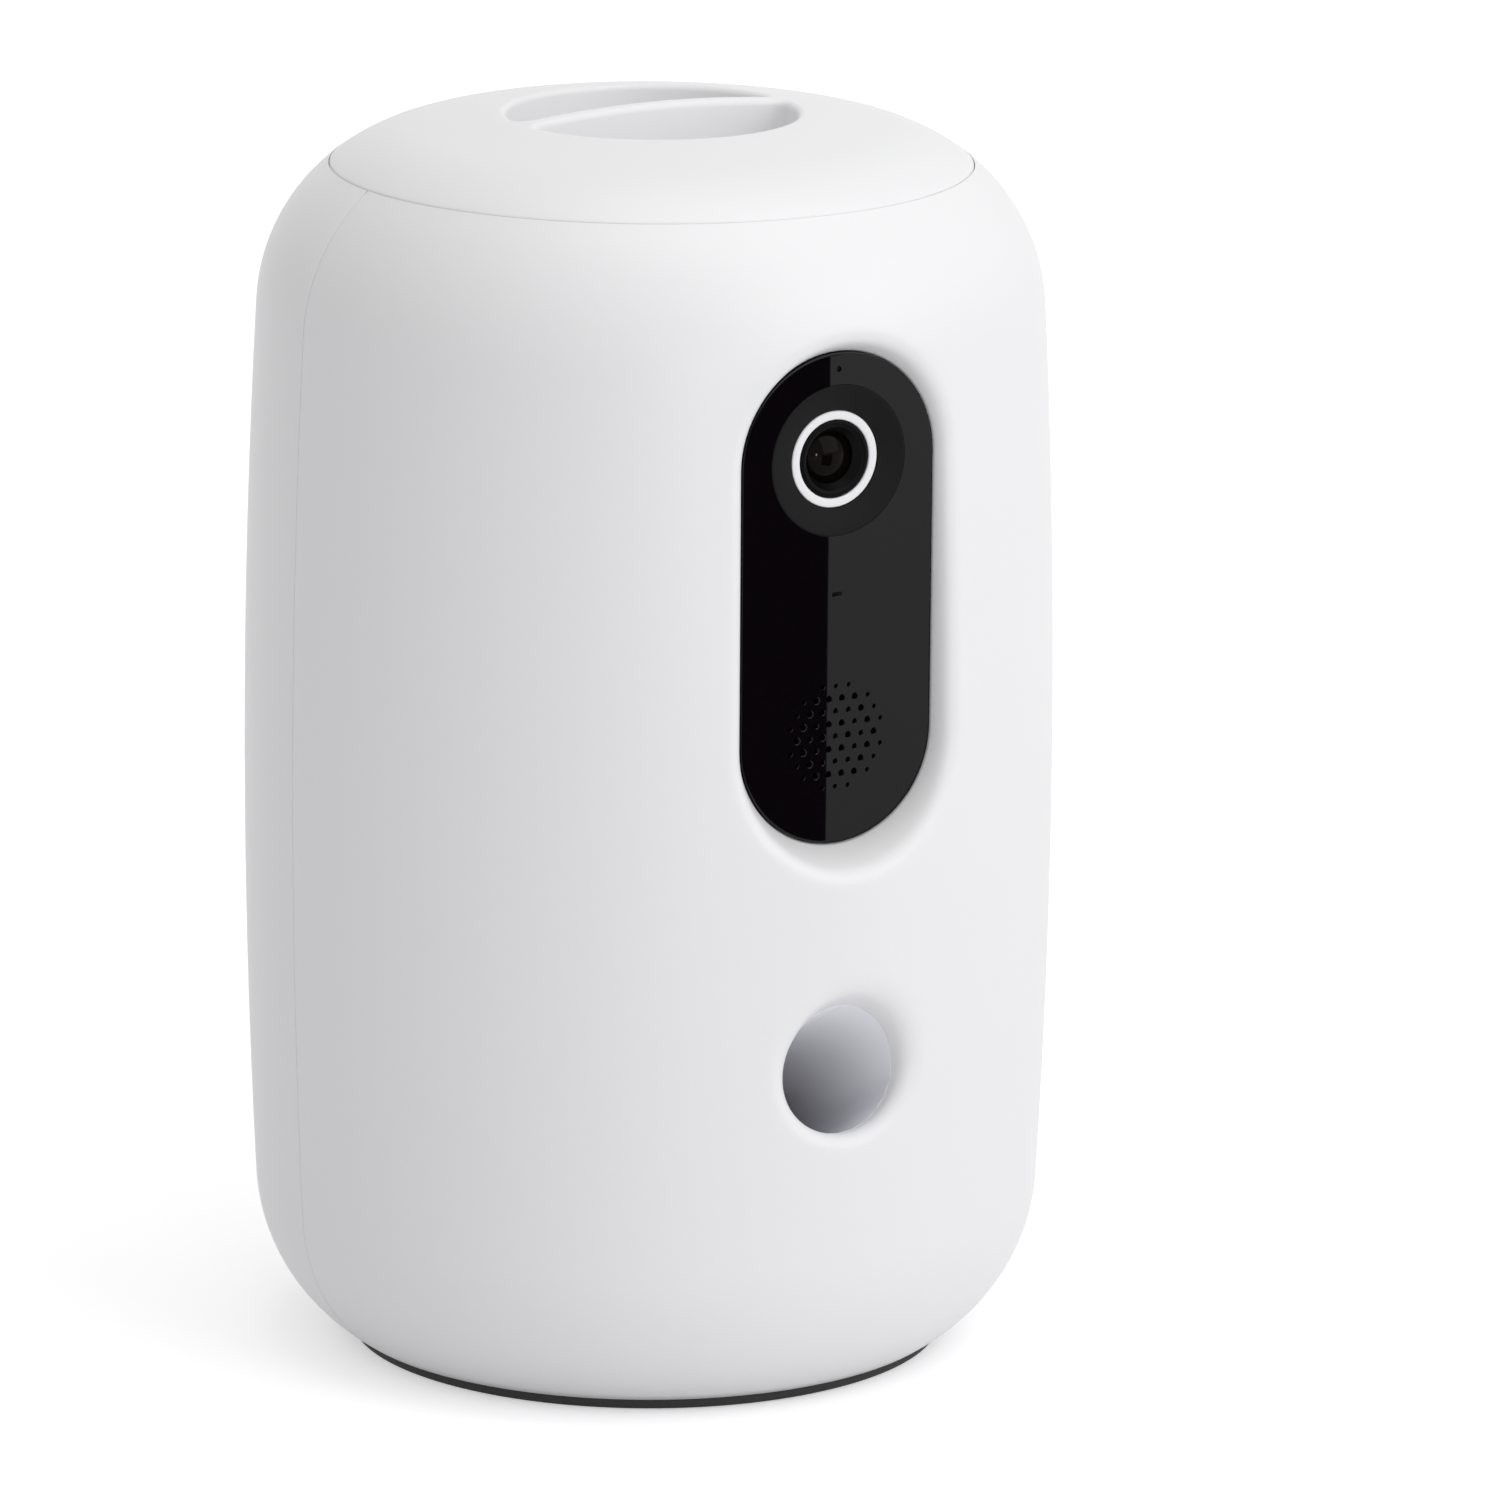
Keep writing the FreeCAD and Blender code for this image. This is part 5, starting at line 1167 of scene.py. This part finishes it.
def photo_camera():
    """The photograph's camera: where it stands, and turned so that the target falls on its pixel."""
    back = Vector((
        math.sin(VIEW_AZIMUTH) * math.cos(VIEW_ELEVATION),
        -math.cos(VIEW_AZIMUTH) * math.cos(VIEW_ELEVATION),
        math.sin(VIEW_ELEVATION),
    ))
    data = bpy.data.cameras.new("PhotoCamera")
    data.lens = VIEW_LENS
    data.sensor_width = SENSOR
    data.clip_start = 0.01
    data.clip_end = 50
    camera = added("PhotoCamera", data)
    focal = VIEW_LENS / SENSOR * PHOTO_SIZE
    half = PHOTO_SIZE / 2
    seen = Vector(((TARGET_PIXEL[0] - half) / focal, (half - TARGET_PIXEL[1]) / focal, -1)).normalized()
    level = (-back).to_track_quat("-Z", "Y") @ Quaternion((0, 0, 1), VIEW_ROLL)
    camera.rotation_mode = "QUATERNION"
    camera.location = VIEW_TARGET + back * VIEW_DISTANCE
    camera.rotation_quaternion = level @ seen.rotation_difference(Vector((0, 0, -1)))
    bpy.context.scene.camera = camera


def background_rays(tree):
    """One for rays from the camera, off glossy surfaces or through clear ones, else zero."""
    path = tree.nodes.new("ShaderNodeLightPath").outputs
    result = path["Is Camera Ray"]
    for kind in ("Is Glossy Ray", "Is Transmission Ray"):
        result = add_node(tree, "ShaderNodeMath", {0: result, 1: path[kind]}, operation="ADD", use_clamp=True)
    return result


def sheet(name, corners, material):
    """A flat sheet for the studio."""
    mesh = bpy.data.meshes.new(name)
    mesh.from_pydata(corners, [], [(0, 1, 2, 3)])
    mesh.materials.append(material)
    return added(name, mesh)


def floor_and_backdrop():
    """A pale floor that keeps the soft shadow, its glow weaker near the object as painted shade round it, and
    a world that lights softly. Both show white.
    """
    material = bpy.data.materials.new("floor_white")
    material.use_nodes = True
    tree = material.node_tree
    tree.nodes.clear()
    place = tree.nodes.new("ShaderNodeTexCoord").outputs["Object"]
    distance = add_node(tree, "ShaderNodeVectorMath", {0: place}, operation="LENGTH").outputs["Value"]
    # Painted shade: less glow near the object darkens the floor round it, where its shadow falls
    level = add_node(tree, "ShaderNodeMapRange", {"Value": distance, **FLOOR_GLOW})
    strength = add_node(tree, "ShaderNodeMath", {0: background_rays(tree), 1: level}, operation="MULTIPLY")
    glow = add_node(tree, "ShaderNodeEmission", {"Strength": strength})
    diffuse = add_node(tree, "ShaderNodeBsdfDiffuse", {"Color": FLOOR_COLOUR})
    both = add_node(tree, "ShaderNodeAddShader", {0: diffuse, 1: glow})
    add_node(tree, "ShaderNodeOutputMaterial", {"Surface": both})
    low, high = -FLOOR_HALF, FLOOR_HALF
    floor = sheet("Floor", [(low, low, 0), (high, low, 0), (high, high, 0), (low, high, 0)], material)
    floor.location.z = -FLOOR_DROP
    world = bpy.data.worlds.new("Studio")
    bpy.context.scene.world = world
    world.use_nodes = True
    tree = world.node_tree
    level = add_node(tree, "ShaderNodeMapRange", {
        "Value": background_rays(tree), "To Min": WORLD_LEVEL, "To Max": 1})
    fill(tree, tree.nodes["Background"], {"Color": (1, 1, 1, 1), "Strength": level})


def reflection_card():
    """A black card in front of the object, out of sight, that the glossy panel reflects on its left side."""
    end = CARD_EDGE + CARD_WAY * CARD_WIDTH
    rise = Vector((0, 0, CARD_HEIGHT))
    card = sheet("BlackCard", [CARD_EDGE, end, end + rise, CARD_EDGE + rise],
                 finish("card_black", (0, 0, 0), 1, specular=0))
    for ray in ("camera", "diffuse", "shadow", "transmission", "volume_scatter"):
        setattr(card, "visible_" + ray, False)


def soft_light(name, place, size, power, aim):
    data = bpy.data.lights.new(name, "AREA")
    data.shape = "RECTANGLE"
    data.size, data.size_y = size
    data.energy = power
    light = added(name, data)
    light.location = place
    light.rotation_euler = (Vector(aim) - Vector(place)).to_track_quat("-Z", "Y").to_euler()


photo_camera()
floor_and_backdrop()
for name, settings in LAMPS.items():
    soft_light(name, *settings)
reflection_card()
bpy.context.scene.view_settings.view_transform = "Standard"
